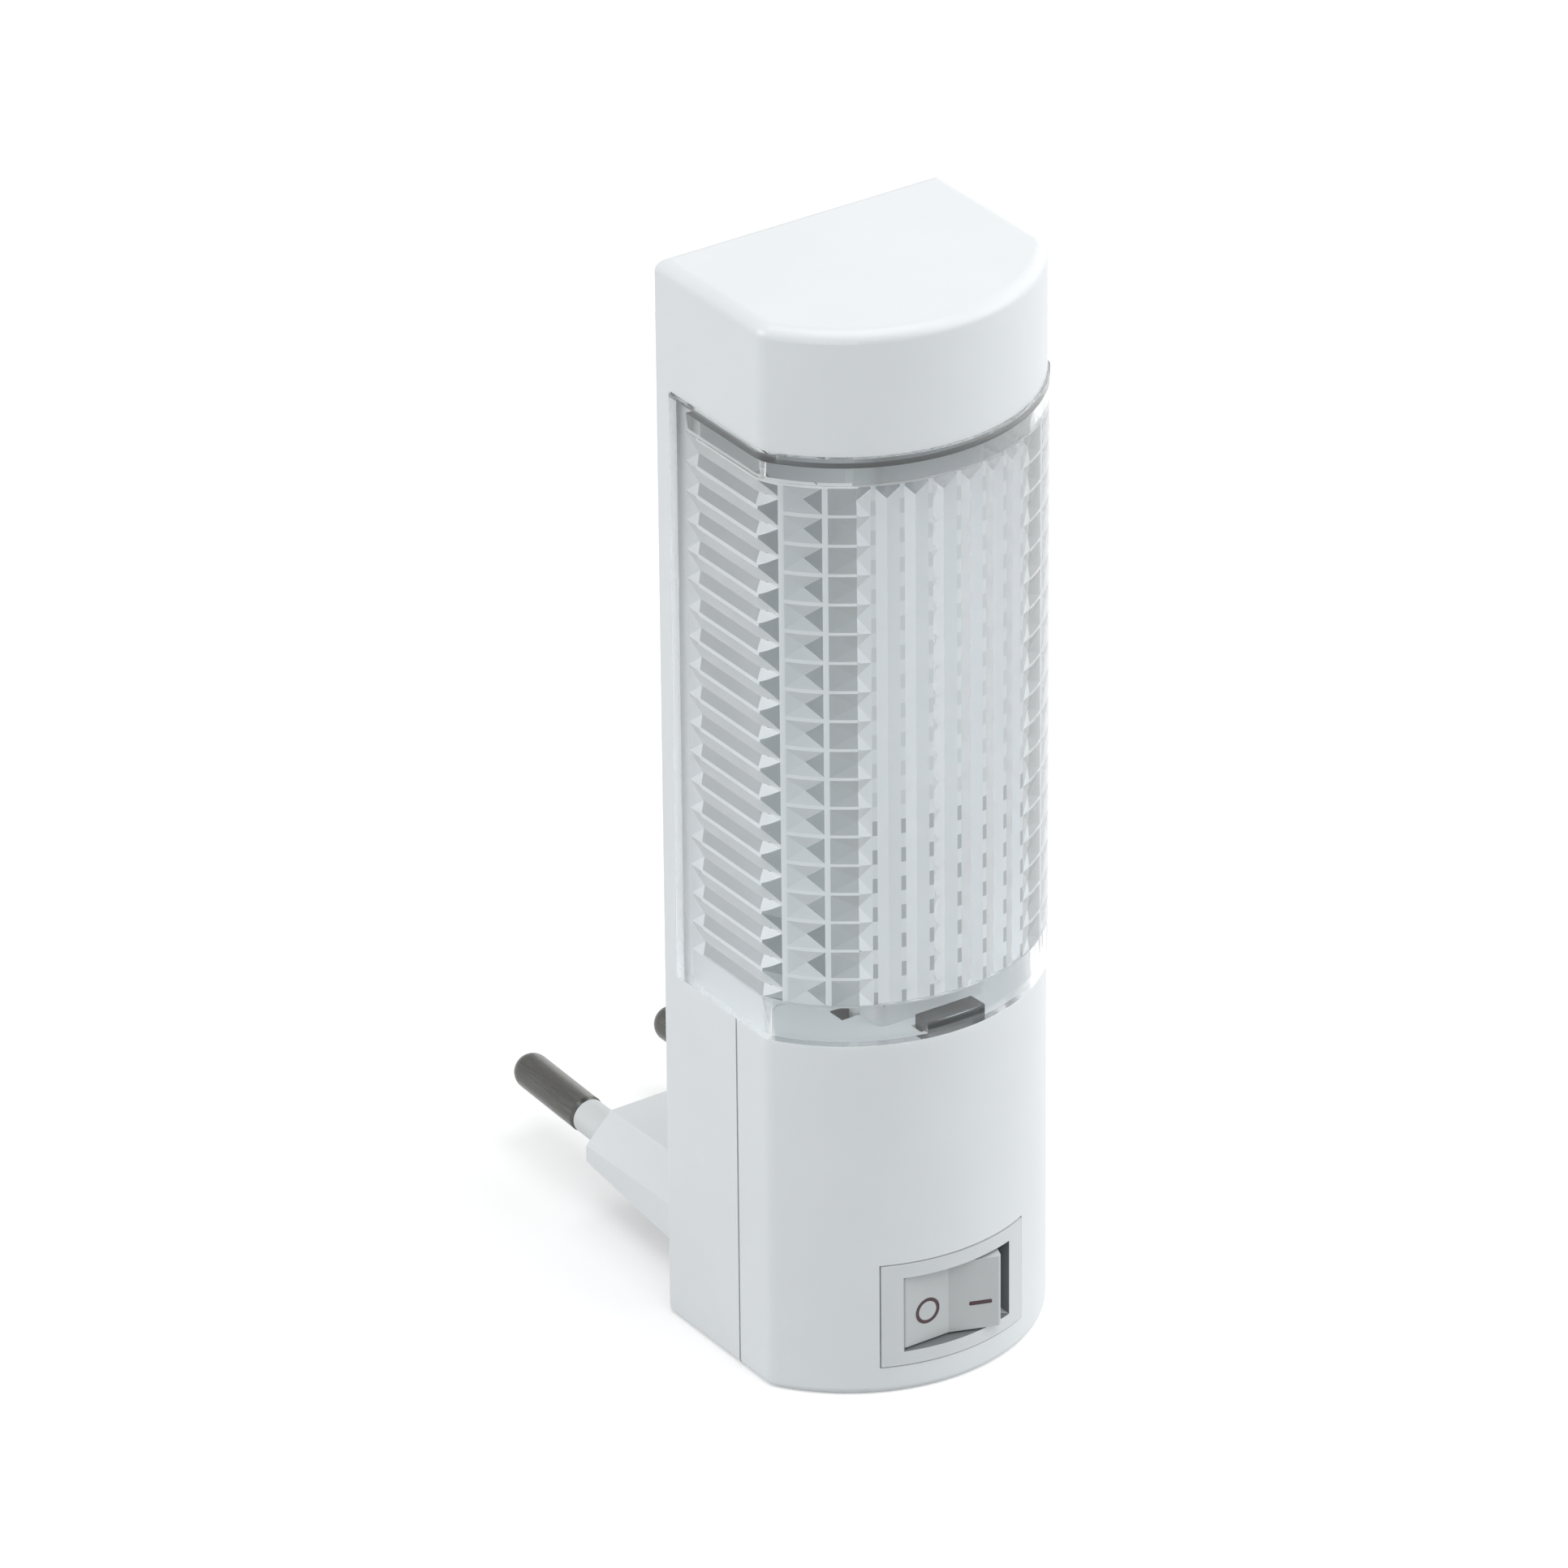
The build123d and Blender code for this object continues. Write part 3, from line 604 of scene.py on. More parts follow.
class LensFace(Enum):
    """The kinds of face that the lens has, numbered as its material slots; most carry painted light
    or shade.
    """

    CLEAR = 0
    SATIN_PAINTED_SHADE = 1
    EDGE = 2
    PAINTED_SHADE = 3
    SOFT = 4
    TAB = 5
    RIM_PAINTED_SHADE = 6
    PAINTED_DIM_SHADE = 7
    PAINTED_DEEP_SHADE = 8
    MARGIN_PAINTED_LIGHT = 9


# Copies of one clear styrene, lightened or darkened face by face with painted light and painted
# shade
LENS_FINISHES: dict[LensFace, ClearPlastic] = {
    # Clear styrene, polished outside
    LensFace.CLEAR: ClearPlastic("clear_polished_styrene", "#F3F5F6", 0.03),
    # The prisms' faces have a fine tooled texture, so what lies behind them blurs; their grey tint
    # is painted shade
    LensFace.SATIN_PAINTED_SHADE: ClearPlastic("satin_prism_faces_painted_grey", "#CCCFD1", 0.45, clarity=0.7),
    # Painted highlight: the prisms' rounded edges are pale and cloudy, so they show as bright lines
    LensFace.EDGE: ClearPlastic("painted_highlight_prism_edges", "#E8EBEC", 0.5, clarity=0.3),
    # Painted shade: dark grey on faces that turn the view into the lens's own wall
    LensFace.PAINTED_SHADE: ClearPlastic("painted_shade_prism_faces", "#83888A", 0.2, clarity=0.9),
    # Painted light: pale, cloudy faces in the middle, where the white cover lies close behind the
    # flutes, and on the side ribs
    LensFace.SOFT: ClearPlastic("painted_light_prism_faces", "#E3E6E8", 0.42, clarity=0.5),
    # Painted shade: near black on the hooks and the tab, which stand in deep slots where hardly any
    # light gets to them
    LensFace.TAB: ClearPlastic("painted_shade_lens_tab", "#1E2022", 0.1, clarity=0.9),
    # The plain rim stands on the deck; its grey tint is painted shade
    LensFace.RIM_PAINTED_SHADE: ClearPlastic("painted_shade_lens_rim", "#A2A5A7", 0.06, clarity=0.95),
    # Painted shade: dim grey beside the cover, where the view goes past it into the hollow of the
    # lens, and on the side ribs' lower faces, the lens's ceiling and the low dashes
    LensFace.PAINTED_DIM_SHADE: ClearPlastic("painted_dim_shade_prism_faces", "#989B9D", 0.45, clarity=0.75),
    # Painted shade: the darkest grey on the steepest faces low down, which look into the dark board
    # slot
    LensFace.PAINTED_DEEP_SHADE: ClearPlastic("painted_deep_shade_prism_faces", "#5F6566", 0.2, clarity=0.9),
    # Painted light: the plain wall behind the ribs is pale and cloudy for the light of the white
    # strip close by
    LensFace.MARGIN_PAINTED_LIGHT: ClearPlastic("painted_light_lens_margin", "#FDFEFF", 0.45, clarity=0.4),
}


# ---------------------------------------------------------------- modelling helpers


def start_clean() -> None:
    """Leaves edit mode and deselects everything, since an operator acts on all that is selected."""
    if bpy.context.object and bpy.context.object.mode != "OBJECT":
        bpy.ops.object.mode_set(mode="OBJECT")
    bpy.ops.object.select_all(action="DESELECT")


def pick(piece: bpy.types.Object) -> None:
    """Makes a piece the only selected one, in object mode.

    Args:
        piece: The piece.
    """
    start_clean()
    piece.select_set(True)
    bpy.context.view_layer.objects.active = piece


def edit(piece: bpy.types.Object) -> None:
    """Opens a piece in edit mode with all of it selected.

    Args:
        piece: The piece.
    """
    pick(piece)
    bpy.ops.object.mode_set(mode="EDIT")
    bpy.ops.mesh.select_all(action="SELECT")


def fix_place(piece: bpy.types.Object) -> None:
    """Puts the object at the origin, unturned and unscaled, with its place in its mesh."""
    pick(piece)
    bpy.ops.object.transform_apply(location=True, rotation=True, scale=True)


def cut(piece: bpy.types.Object, cutter: bpy.types.Object) -> None:
    """Cuts one solid with another and removes the cutter.

    Args:
        piece: The solid that stays.
        cutter: The solid that is taken out of it.
    """
    pick(piece)
    modifier = piece.modifiers.new("cut", "BOOLEAN")
    modifier.operation = "DIFFERENCE"
    modifier.solver = "EXACT"
    modifier.object = cutter
    bpy.ops.object.modifier_apply(modifier=modifier.name)
    bpy.data.objects.remove(cutter)


def soften(piece: bpy.types.Object, angle: float) -> None:
    """Shades the faces smooth where they meet at less than this angle in degrees."""
    pick(piece)
    bpy.ops.object.shade_smooth_by_angle(angle=math.radians(angle))


# ---------------------------------------------------------------- the light's sub-assemblies


@dataclass
class Lens:
    """Clear cover with prisms moulded into its inside.

    Level grooves run round all three sides. The bowed front has upright grooves as well, so the
    two sets leave pyramids between them, and the ribs of the flat sides end in hips. Lengths are
    in millimetres, and angles in degrees round the bow's axis from straight ahead.
    """

    # The bow's axis, and how far out grooves and crests reach on the bow and the flat sides
    bow_y: float = -28.46
    groove_radius: float = 19.48
    crest_radius: float = 18.85
    flute_radius: float = 19.02
    groove_x: float = 16.44
    crest_x: float = 15.81
    # A side rib from the back: where it starts, reaches its full depth and ends in a hip
    prism_back_y: float = -25.8
    taper_y: float = -27.8
    hip_y: float = -37.9
    # Rows of prisms, over a plain rim that stands on the deck
    deck_z: float = 32.75
    prism_bottom_z: float = 36.9
    pitch: float = 3.22
    ribs: int = 18
    # Upright grooves, the corner where the bow meets the side, and the cover's edge
    groove_angles: tuple[float, ...] = (0.0, 9.2, 17.8, 26.2, 39.9)
    corner_angle: float = 52.6
    open_angle: float = 30.9
    # Grooves sharper than this are rounded, and the rest is shaded smooth
    edge_width: float = 0.26
    sharp_angle: float = 14.0
    smooth_angle: float = 20.0
    # Rows with the darkest painted shade, counted from 0 at the bottom
    darkest_painted_rows: tuple[int, ...] = (1, 2)
    # How many rows from the bottom have painted shade dashes in the flutes
    painted_dash_rows: int = 7
    # How far a face's normal leans before its finish changes
    slope: float = 0.1
    lean: float = 0.2
    # How far outside its nominal place a point still belongs to the prisms
    side_margin: float = 0.05
    bow_margin: float = 0.1
    # Corners of the loose triangles nearer than this are joined
    joined: float = 0.001

    @property
    def prism_top_z(self) -> float:
        """Gives the height of the prisms' top."""
        return self.prism_bottom_z + self.ribs * self.pitch

    def round_bow(self, spot: Vector) -> tuple[float, float]:
        """Gives a point's distance from the bow's axis and its angle round it."""
        ahead = self.bow_y - spot.y
        return math.hypot(spot.x, ahead), math.degrees(math.atan2(spot.x, ahead))

    def plan(self, radius: float, side_x: float, flute_radius: float) -> list[Vector]:
        """Lists the core's corners, seen from above, from the left side's back to the right's.

        The corners are, in turn, in a groove and on a crest.

        Args:
            radius: The crests' distance from the bow's axis.
            side_x: The side ribs' distance from the middle.
            flute_radius: The most that radius may be in the middle, where the flutes are.

        Returns:
            The corners in millimetres.
        """
        grooves = [*self.groove_angles, self.corner_angle]
        half: list[tuple[float, float]] = []
        for inner, outer in zip(grooves, grooves[1:]):
            middle = self.open_angle if inner < self.open_angle < outer else (inner + outer) / 2
            crest = min(radius, flute_radius) if outer < self.open_angle else radius
            half += [(middle, crest), (outer, self.groove_radius)]
        bow = [(-angle, r) for angle, r in reversed(half)] + [(0.0, self.groove_radius)] + half
        side = [
            (self.groove_x, self.prism_back_y),
            (side_x, self.taper_y),
            (side_x, self.hip_y),
        ]
        points = [Vector((-x, y, 0)) for x, y in side]
        for angle, r in bow:
            turn = math.radians(angle)
            points.append(Vector((r * math.sin(turn), self.bow_y - r * math.cos(turn), 0)))
        return points + [Vector((x, y, 0)) for x, y in reversed(side)]

    def prism_core(self) -> bpy.types.Object:
        """Builds the core that leaves the prisms, as the mould's own core would.

        Returns:
            The core, a stack of rings that alternate between grooves and crests.
        """
        groove = self.plan(self.groove_radius, self.groove_x, self.flute_radius)
        crest = self.plan(self.crest_radius, self.crest_x, self.crest_radius)
        end = self.plan(self.groove_radius, self.groove_x, self.groove_radius)
        half_pitch = self.pitch / 2
        start_clean()
        bpy.ops.mesh.primitive_circle_add(vertices=len(groove), radius=MM, fill_type="NGON")
        core = bpy.context.object
        for vertex, point in zip(core.data.vertices, groove):
            vertex.co = (point + Vector((0, 0, self.prism_bottom_z))) * MM
        edit(core)
        for _ in range(2 * self.ribs):
            bpy.ops.mesh.extrude_region_move(
                TRANSFORM_OT_translate={"value": (0, 0, half_pitch * MM)}
            )
        start_clean()
        for vertex in core.data.vertices:
            ring = round((vertex.co.z / MM - self.prism_bottom_z) / half_pitch)
            if ring % 2 == 0 and ring < 2 * self.ribs:
                continue
            shape = crest if ring % 2 else end
            spot = Vector((vertex.co.x, vertex.co.y, 0)) / MM
            number = min(range(len(groove)), key=lambda i: (groove[i] - spot).length)
            vertex.co.x, vertex.co.y = shape[number].x * MM, shape[number].y * MM
        edit(core)
        bpy.ops.mesh.quads_convert_to_tris(quad_method="LONGEST_DIAGONAL", ngon_method="BEAUTY")
        bpy.ops.mesh.normals_make_consistent(inside=False)
        start_clean()
        return core

    def is_prism(self, spot: Vector) -> bool:
        """Tells whether a point is on the prisms.

        Args:
            spot: The point in millimetres.

        Returns:
            True on the prisms.
        """
        radius, _ = self.round_bow(spot)
        in_side = abs(spot.x) < self.groove_x + self.side_margin
        in_bow = radius < self.groove_radius + self.bow_margin
        in_height = self.prism_bottom_z - TOUCH < spot.z < self.prism_top_z + TOUCH
        return in_side and in_bow and in_height and spot.y < self.prism_back_y - TOUCH

    def prism_finish(self, spot: Vector, normal: Vector) -> LensFace:
        """Chooses a prism face's finish, painting light or shade by the face's place and slope.

        Args:
            spot: The face's middle in millimetres.
            normal: The face's normal.

        Returns:
            The finish.
        """
        _, angle = self.round_bow(spot)
        turn = math.radians(angle)
        outward = -1 if angle > 0 else 1
        lean = normal.dot(Vector((math.cos(turn), math.sin(turn), 0))) * outward
        turned = abs(angle)
        past_grooves = turned > self.groove_angles[-1]
        row = round((spot.z - self.prism_bottom_z) / self.pitch - 0.5)
        # Steep faces get painted shade, darkest in the low rows beyond the last groove
        dark = LensFace.PAINTED_DEEP_SHADE if row in self.darkest_painted_rows and past_grooves else LensFace.PAINTED_SHADE
        corner_y = self.bow_y - self.groove_radius * math.cos(math.radians(self.corner_angle))
        if spot.y > corner_y and past_grooves:
            if spot.y < self.hip_y and abs(normal.z) < self.slope:
                return dark
            # On the side ribs, painted dim shade on the rib's lower faces and painted light on the
            # rest
            in_rib = self.hip_y < spot.y < self.taper_y
            return LensFace.PAINTED_DIM_SHADE if normal.z < -self.slope and in_rib else LensFace.SOFT
        if turned < self.open_angle:
            # In the middle, painted shade on the top row's upward faces and painted light on the
            # rest
            in_top_row = spot.z > self.prism_top_z - self.pitch / 2
            return LensFace.PAINTED_SHADE if in_top_row and normal.z > self.lean else LensFace.SOFT
        if lean > self.lean:
            return dark
        # Elsewhere painted shade: mid grey beyond the last groove, dim grey before it
        return LensFace.SATIN_PAINTED_SHADE if past_grooves else LensFace.PAINTED_DIM_SHADE

    def face_finish(self, spot: Vector, normal: Vector) -> LensFace:
        """Chooses the finish of any face of the lens, with its painted light or shade.

        Args:
            spot: The face's middle in millimetres.
            normal: The face's normal.

        Returns:
            The finish.
        """
        radius, _ = self.round_bow(spot)
        inner = abs(spot.x) < self.groove_x and radius < self.groove_radius
        in_rows = self.prism_bottom_z < spot.z < self.prism_top_z
        faces_across = abs(normal.x) > 0.9
        faces_down = normal.z < -0.5
        faces_level = abs(normal.z) < 0.5
        if self.is_prism(spot):
            return self.prism_finish(spot, normal)
        if spot.z < self.deck_z:
            return LensFace.TAB
        if inner and faces_level and not in_rows:
            return LensFace.RIM_PAINTED_SHADE
        if faces_down and spot.z > self.prism_top_z:
            return LensFace.PAINTED_DIM_SHADE
        if inner and faces_across and spot.y > self.prism_back_y:
            return LensFace.MARGIN_PAINTED_LIGHT
        return LensFace.CLEAR

    def is_groove(self, start: Vector, end: Vector) -> bool:
        """Tells whether an edge is one that gets rounded.

        Args:
            start: One end of the edge in millimetres.
            end: Its other end.

        Returns:
            True in a groove, and on the ledge below the prisms.
        """
        way = (end - start).normalized()
        middle = (start + end) / 2
        _, angle = self.round_bow(middle)
        upright = abs(way.z) > UPRIGHT
        on_crest = abs(abs(middle.x) - self.crest_x) < self.side_margin
        in_groove = abs(angle) > self.open_angle and not on_crest
        on_ledge = abs(middle.z - self.prism_bottom_z) < 2 * TOUCH
        level = abs(way.z) < LEVEL and (in_groove or on_ledge)
        return (upright or level) and self.is_prism(start) and self.is_prism(end)

    def round_edges(self, lens: bpy.types.Object) -> None:
        """Rounds the prisms' grooves and gives the rounds a painted highlight, which shows as thin
        pale lines.

        Args:
            lens: The lens, with its prisms cut.
        """
        mesh = lens.data
        normals: dict[tuple[int, int], list[Vector]] = {}
        for face in mesh.polygons:
            for key in face.edge_keys:
                normals.setdefault(key, []).append(face.normal.copy())
        pick(lens)
        for item in (*mesh.vertices, *mesh.edges, *mesh.polygons):
            item.select = False
        for edge in mesh.edges:
            start, end = (mesh.vertices[number].co / MM for number in edge.vertices)
            pair = normals[tuple(sorted(edge.vertices))]
            sharp = len(pair) == 2 and pair[0].angle(pair[1]) > math.radians(self.sharp_angle)
            edge.select = sharp and self.is_groove(start, end)
        bpy.context.tool_settings.mesh_select_mode = (False, True, False)
        bpy.ops.object.mode_set(mode="EDIT")
        bpy.ops.mesh.bevel(
            offset=self.edge_width * MM,
            segments=1,
            affect="EDGES",
            material=LensFace.EDGE.value,
        )
        start_clean()
        bpy.context.tool_settings.mesh_select_mode = (True, False, False)

    def dim_flutes(self, lens: bpy.types.Object) -> None:
        """Gives the rounded edges in the middle painted light and painted shade by turns, so they
        show as soft flutes with a row of dashes.

        Args:
            lens: The lens, with its grooves rounded.
        """
        for face in lens.data.polygons:
            spot = face.center / MM
            _, angle = self.round_bow(spot)
            half_row = int((spot.z - self.prism_bottom_z) / (self.pitch / 2))
            on_ledge = spot.z < self.prism_bottom_z + self.edge_width
            is_edge = face.material_index == LensFace.EDGE.value
            if not is_edge or abs(angle) > self.open_angle or on_ledge:
                continue
            finish = LensFace.PAINTED_DIM_SHADE if half_row < 2 * self.painted_dash_rows else LensFace.SATIN_PAINTED_SHADE
            face.material_index = LensFace.SOFT.value if half_row % 2 else finish.value

    def build(self) -> bpy.types.Object:
        """Cuts the prisms into a copy of the plain lens.

        Returns:
            The finished lens.
        """
        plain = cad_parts["lens"]
        lens = plain.copy()
        lens.data = plain.data.copy()
        lens.name = "prismatic_lens"
        lens.parent = None
        for key in list(lens.keys()):
            del lens[key]
        bpy.context.scene.collection.objects.link(lens)
        edit(lens)
        bpy.ops.mesh.remove_doubles(threshold=self.joined * MM)
        bpy.ops.mesh.customdata_custom_splitnormals_clear()
        start_clean()
        cut(lens, self.prism_core())
        lens.data.materials.clear()
        for kind in LensFace:
            lens.data.materials.append(LENS_FINISHES[kind].make())
        for face in lens.data.polygons:
            face.material_index = self.face_finish(face.center / MM, face.normal).value
        self.round_edges(lens)
        self.dim_flutes(lens)
        soften(lens, self.smooth_angle)
        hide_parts("lens")
        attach(lens, Body.HOUSING.value)
        return lens


@dataclass
class RockerMarks:
    """The ring for off and the bar for on, printed on the rocker's two faces.

    Lengths are in millimetres. Middle is the edge that both faces share, at half their height.
    """

    middle: tuple[float, float, float] = (-0.868, -47.424, 1.15)
    left_end: tuple[float, float] = (-6.417, -47.424)
    right_end: tuple[float, float] = (4.346, -49.322)
    ring_along: float = 2.57
    ring_drop: float = 0.60
    ring_diameter: float = 2.9
    ring_corners: int = 64
    stroke: float = 0.38
    bar_from: float = 2.17
    bar_to: float = 4.56
    bar_drop: float = 1.03
    bar_height: float = 0.45
    bar_rounding: float = 0.135
    ink: float = 0.03
    sunk: float = 0.01
    finish: MouldedPlastic = MARK_INK

    def lay_on(
        self, mark: bpy.types.Object, end: tuple[float, float], along: float, drop: float
    ) -> None:
        """Turns a mark that lies flat onto one of the rocker's faces.

        Args:
            mark: The mark, flat in X and Y with its ink upwards.
            end: The far end of the face, in X and Y.
            along: How far from the middle the mark's own middle is.
            drop: How far below the middle of the face it is.
        """
        face = Vector((end[0] - self.middle[0], end[1] - self.middle[1], 0)).normalized()
        if face.x < 0:
            face = -face
            along = -along
        outward = Vector((face.y, -face.x, 0))
        spot = Vector(self.middle) + face * along - Vector((0, 0, drop))
        turn = Matrix((face, (0, 0, 1), outward)).transposed().to_4x4()
        mark.matrix_world = Matrix.Translation(spot * MM) @ turn
        fix_place(mark)

    def thicken(self, mark: bpy.types.Object) -> None:
        """Raises a flat outline by the ink's thickness, with its underside sunk into the face.

        Args:
            mark: The outline, flat in X and Y.
        """
        edit(mark)
        bpy.ops.mesh.extrude_region_move(TRANSFORM_OT_translate={"value": (0, 0, self.ink * MM)})
        bpy.ops.mesh.select_all(action="SELECT")
        bpy.ops.transform.translate(value=(0, 0, -self.sunk * MM))
        bpy.ops.mesh.normals_make_consistent(inside=False)
        start_clean()

    def build_ring(self) -> bpy.types.Object:
        """Models the ring on the left face.

        Returns:
            The ring.
        """
        start_clean()
        bpy.ops.mesh.primitive_circle_add(
            vertices=self.ring_corners, radius=self.ring_diameter / 2 * MM, fill_type="NGON"
        )
        ring = bpy.context.object
        ring.name = "off_ring"
        edit(ring)
        bpy.ops.mesh.inset(thickness=self.stroke * MM)
        bpy.ops.mesh.delete(type="FACE")
        self.thicken(ring)
        self.lay_on(ring, self.left_end, self.ring_along, self.ring_drop)
        return ring

    def build_bar(self) -> bpy.types.Object:
        """Models the bar on the right face.

        Returns:
            The bar.
        """
        start_clean()
        bpy.ops.mesh.primitive_plane_add(size=MM)
        bar = bpy.context.object
        bar.name = "on_bar"
        edit(bar)
        bpy.ops.transform.resize(value=(self.bar_to - self.bar_from, self.bar_height, 1))
        bpy.ops.mesh.bevel(offset=self.bar_rounding * MM, segments=4, affect="VERTICES")
        self.thicken(bar)
        self.lay_on(bar, self.right_end, (self.bar_from + self.bar_to) / 2, self.bar_drop)
        return bar

    def build(self) -> list[bpy.types.Object]:
        """Models both marks and inks them.

        Returns:
            The ring and the bar.
        """
        marks = [self.build_ring(), self.build_bar()]
        ink = self.finish.make()
        for mark in marks:
            mark.data.materials.append(ink)
            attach(mark, Body.ROCKER.value)
        return marks


@dataclass
class PaintedShadeRecess:
    """A recess whose walls get painted shade, such as the mouth round the rocker.

    It is a box in millimetres, centred on the light's middle from left to right.
    """

    node: str
    half_width: float
    half_height: float
    middle_z: float = 1.15
    y_span: tuple[float, float] = (-60.0, -42.0)
    margin: float = 0.02
    finish: MouldedPlastic = SWITCH_MOUTH_PAINTED_SHADE

    def holds(self, spot: Vector) -> bool:
        """Tells whether a point is in the recess.

        Args:
            spot: The point in millimetres.

        Returns:
            True in the recess.
        """
        across = abs(spot.x) < self.half_width + self.margin
        up = abs(spot.z - self.middle_z) < self.half_height + self.margin
        return across and up and self.y_span[0] < spot.y < self.y_span[1]

    def build(self) -> int:
        """Gives the recess's own faces the painted shade finish, after the node has its main one.

        Returns:
            How many faces get painted shade.
        """
        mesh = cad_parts[self.node].data
        number = len(mesh.materials)
        mesh.materials.append(self.finish.make())
        walls = [face for face in mesh.polygons if self.holds(face.center / MM)]
        for face in walls:
            face.material_index = number
        return len(walls)


# Painted shade in the switch's mouth, the seat of its frame, and the slot that the board's neck
# stands in
PAINTED_SHADE_RECESSES = (
    PaintedShadeRecess("switch_body", half_width=6.5, half_height=4.3),
    PaintedShadeRecess("front_shell", half_width=8.7, half_height=5.95),
    PaintedShadeRecess(
        "front_shell",
        half_width=8.5,
        half_height=2.3,
        middle_z=30.3,
        y_span=(-39.95, -37.65),
        finish=SLOT_DARK,
    ),
)


@dataclass
class Carried:
    """The CAD nodes whose shape is kept, each with its finish."""

    finishes: dict[str, Finish] = field(
        default_factory=lambda: {
            "rear_shell": HOUSING_WHITE,
            "front_shell": HOUSING_WHITE,
            "diffuser": DIFFUSER_MILK,
            "led_board": BOARD_WHITE,
            "leds": LED_CUPS,
            "film_capacitor": FILM_YELLOW,
            "electrolytic_capacitor": CAN_SLEEVE,
            "resistors": RESISTOR_BLUE,
            "rectifier_diodes": DIODE_BLACK,
            "plug_pin_left": PIN_NICKEL_PAINTED_DARK,
            "plug_pin_right": PIN_NICKEL_PAINTED_DARK,
            "pin_sleeve_left": SLEEVE_WHITE,
            "pin_sleeve_right": SLEEVE_WHITE,
            "pin_retainer": RETAINER_GREY,
            "retainer_screw": SCREW_STEEL,
            "case_screws": SCREW_STEEL,
            "switch_body": SWITCH_WHITE,
            "switch_rocker": ROCKER_GREY,
            "switch_plunger": PLUNGER_WHITE,
            "switch_spring": SPRING_STEEL,
            "contact_blade": CONTACT_BRASS,
            "common_terminal": TERMINAL_BRASS,
            "load_terminal": TERMINAL_BRASS,
            "live_lead": LEAD_BROWN,
            "neutral_lead": LEAD_BLUE,
            "switched_lead": LEAD_BLACK,
        }
    )

    def build(self) -> list[str]:
        """Dresses every node, with one material for each finish.

        Returns:
            The names of the dressed nodes.
        """
        made: dict[str, bpy.types.Material] = {}
        for node, finish in self.finishes.items():
            if finish.name not in made:
                made[finish.name] = finish.make()
            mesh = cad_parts[node].data
            mesh.materials.clear()
            mesh.materials.append(made[finish.name])
        return list(self.finishes)


# ---------------------------------------------------------------- studio


@dataclass
class Softbox:
    """A large square lamp that looks at the light, with its sizes in metres."""

    name: str
    towards: tuple[float, float, float]
    distance: float
    size: float
    power: float

    def build(self, target: Vector) -> bpy.types.Object:
        """Places the lamp.

        Args:
            target: The point that it looks at.

        Returns:
            The lamp.
        """
        data = bpy.data.lights.new(self.name, "AREA")
        data.shape = "SQUARE"
        data.size = self.size
        data.energy = self.power
        lamp = bpy.data.objects.new(self.name, data)
        bpy.context.scene.collection.objects.link(lamp)
        way = Vector(self.towards).normalized()
        lamp.location = target + way * self.distance
        lamp.rotation_euler = way.to_track_quat("Z", "Y").to_euler()
        return lamp


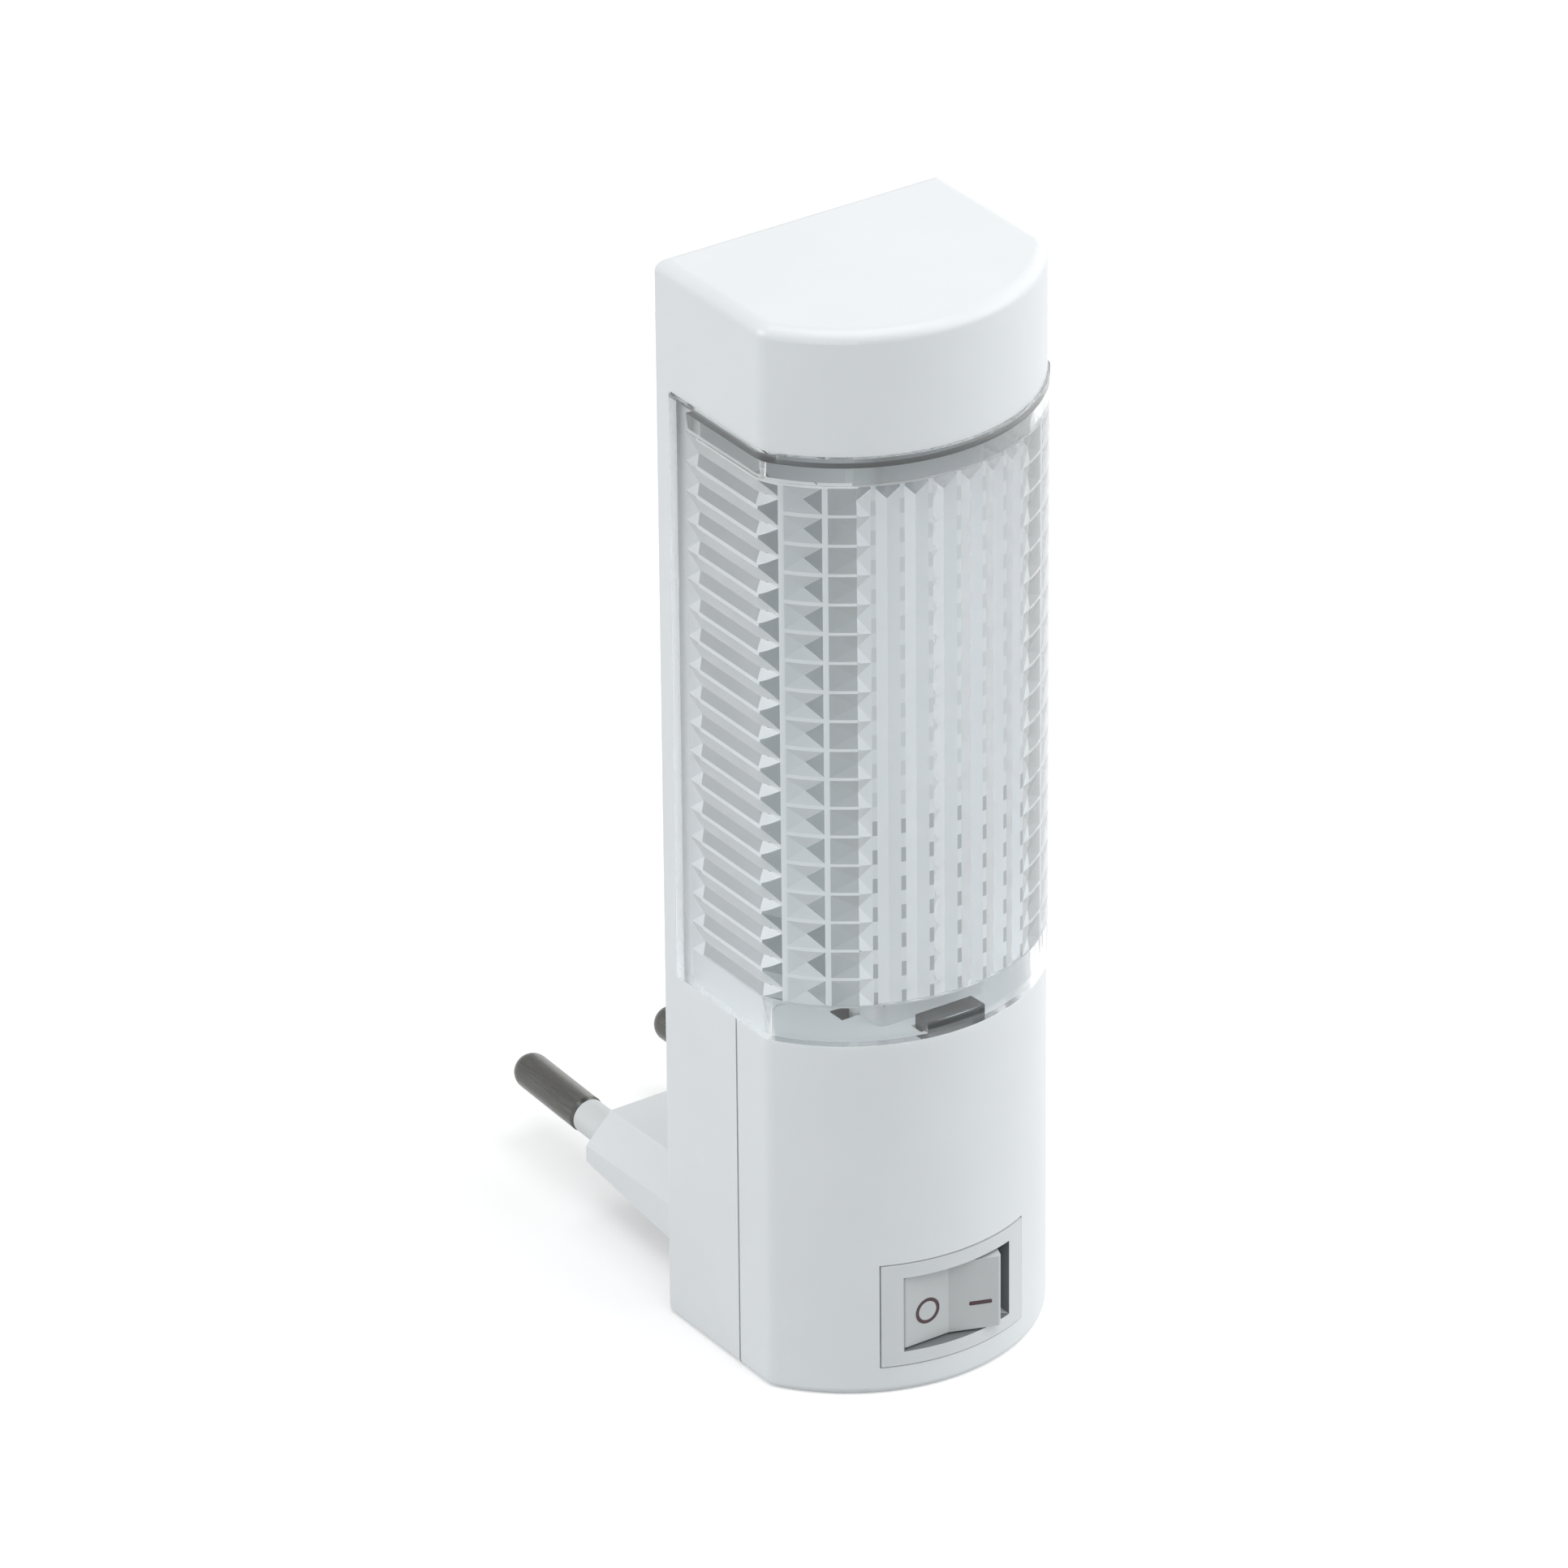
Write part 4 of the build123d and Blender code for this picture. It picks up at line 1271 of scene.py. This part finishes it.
@dataclass
class Studio:
    """Floor, room light, lamps and camera.

    The middle and the floor's size are in metres. The floor's height and the camera's distance,
    slides, aim and clipping are in millimetres, and its angles in degrees.
    """

    middle: tuple[float, float, float] = (0.0, -0.025, 0.05)
    floor_z: float = -7.9
    floor_size: float = 6.0
    floor_bounce: str = "#B4B8BA"
    floor_glow: float = 0.3
    room: float = 0.18
    room_colour: str = "#FAFBFC"
    softboxes: tuple[Softbox, ...] = (
        Softbox("top_softbox", (0.0, -0.3, 1.0), distance=1.5, size=1.6, power=14.5),
        Softbox("left_softbox", (-1.0, 0.3, 0.25), distance=1.6, size=1.0, power=12.3),
        Softbox("right_back_softbox", (1.0, 0.45, 0.3), distance=1.6, size=1.8, power=8.0),
        Softbox("right_front_softbox", (0.8, -0.9, 0.3), distance=1.6, size=1.8, power=17.4),
    )
    lens_mm: float = 271.58
    sensor_mm: float = 36.0
    azimuth: float = -34.079
    elevation: float = 28.325
    roll: float = -0.554
    distance: float = 1180.136
    slide_right: float = -10.23
    slide_up: float = 2.252
    aim: tuple[float, float, float] = (0.0, -35.6, 52.1)
    clip_from: float = 50.0
    clip_to: float = 50000.0

    def build_floor(self) -> bpy.types.Object:
        """Lays the pale floor, which keeps the light's shadow.

        Returns:
            The floor.
        """
        start_clean()
        bpy.ops.mesh.primitive_plane_add(size=self.floor_size, location=(0, 0, self.floor_z * MM))
        floor = bpy.context.object
        floor.name = "pale_floor"
        fix_place(floor)
        # White paint that glows a little where it is seen, and sends a greyer light back up
        material = blank("pale_floor_paint")
        matt = add_node(material, "BsdfDiffuse", {"Color": linear(WHITE)})
        glow = add_node(
            material, "Emission", {"Color": linear(WHITE), "Strength": self.floor_glow}
        )
        lit = add_node(
            material, "AddShader", {0: matt.outputs["BSDF"], 1: glow.outputs["Emission"]}
        )
        bounce = add_node(material, "BsdfDiffuse", {"Color": linear(self.floor_bounce)})
        seen = add_node(
            material,
            "MixShader",
            {0: shows_background(material), 1: bounce.outputs["BSDF"], 2: lit.outputs["Shader"]},
        )
        add_node(material, "OutputMaterial", {"Surface": seen.outputs["Shader"]})
        floor.data.materials.append(material)
        return floor

    def build_room(self) -> None:
        """Lights the scene evenly from all round and shows plain white behind the object."""
        world = bpy.data.worlds.new("pale_room")
        bpy.context.scene.world = world
        world.use_nodes = True
        world.node_tree.nodes.clear()
        soft = add_node(
            world, "Background", {"Color": linear(self.room_colour), "Strength": self.room}
        ).outputs["Background"]
        white = add_node(world, "Background", {"Color": linear(WHITE)}).outputs["Background"]
        mixed = add_node(world, "MixShader", {0: shows_background(world), 1: soft, 2: white})
        add_node(world, "OutputWorld", {"Surface": mixed.outputs["Shader"]})

    def build_camera(self) -> bpy.types.Object:
        """Places the camera.

        Returns:
            The camera.
        """
        around, above, roll = (
            math.radians(angle) for angle in (self.azimuth, self.elevation, self.roll)
        )
        ground = Vector((math.sin(around), -math.cos(around), 0))
        back = ground * math.cos(above) + Vector((0, 0, math.sin(above)))
        right = Vector((math.cos(around), math.sin(around), 0))
        up = back.cross(right)
        turned_right = right * math.cos(roll) + up * math.sin(roll)
        turned_up = up * math.cos(roll) - right * math.sin(roll)
        data = bpy.data.cameras.new("camera")
        data.sensor_width = self.sensor_mm
        data.lens = self.lens_mm
        data.clip_start = self.clip_from * MM
        data.clip_end = self.clip_to * MM
        camera = bpy.data.objects.new("camera", data)
        bpy.context.scene.collection.objects.link(camera)
        spot = Vector(self.aim) + back * self.distance
        spot += turned_right * self.slide_right + turned_up * self.slide_up
        turn = Matrix((turned_right, turned_up, back)).transposed().to_4x4()
        camera.matrix_world = Matrix.Translation(spot * MM) @ turn
        bpy.context.scene.camera = camera
        return camera

    def build(self) -> None:
        """Builds the whole studio and sets the view."""
        self.build_floor()
        self.build_room()
        for box in self.softboxes:
            box.build(Vector(self.middle))
        self.build_camera()
        bpy.context.scene.view_settings.view_transform = "Standard"


def main() -> None:
    """Builds the night light's visual pieces and the studio in order."""
    logging.basicConfig(level=logging.INFO, format="%(name)s: %(message)s")
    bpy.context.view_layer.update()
    for node in Carried().build():
        log.info("dressed %s", node)
    for recess in PAINTED_SHADE_RECESSES:
        log.info("darkened %d faces in %s", recess.build(), recess.node)
    lens = Lens().build()
    log.info("%s has %d faces", lens.name, len(lens.data.polygons))
    for mark in RockerMarks().build():
        log.info("printed %s", mark.name)
    Studio().build()


if __name__ == "__main__":
    main()
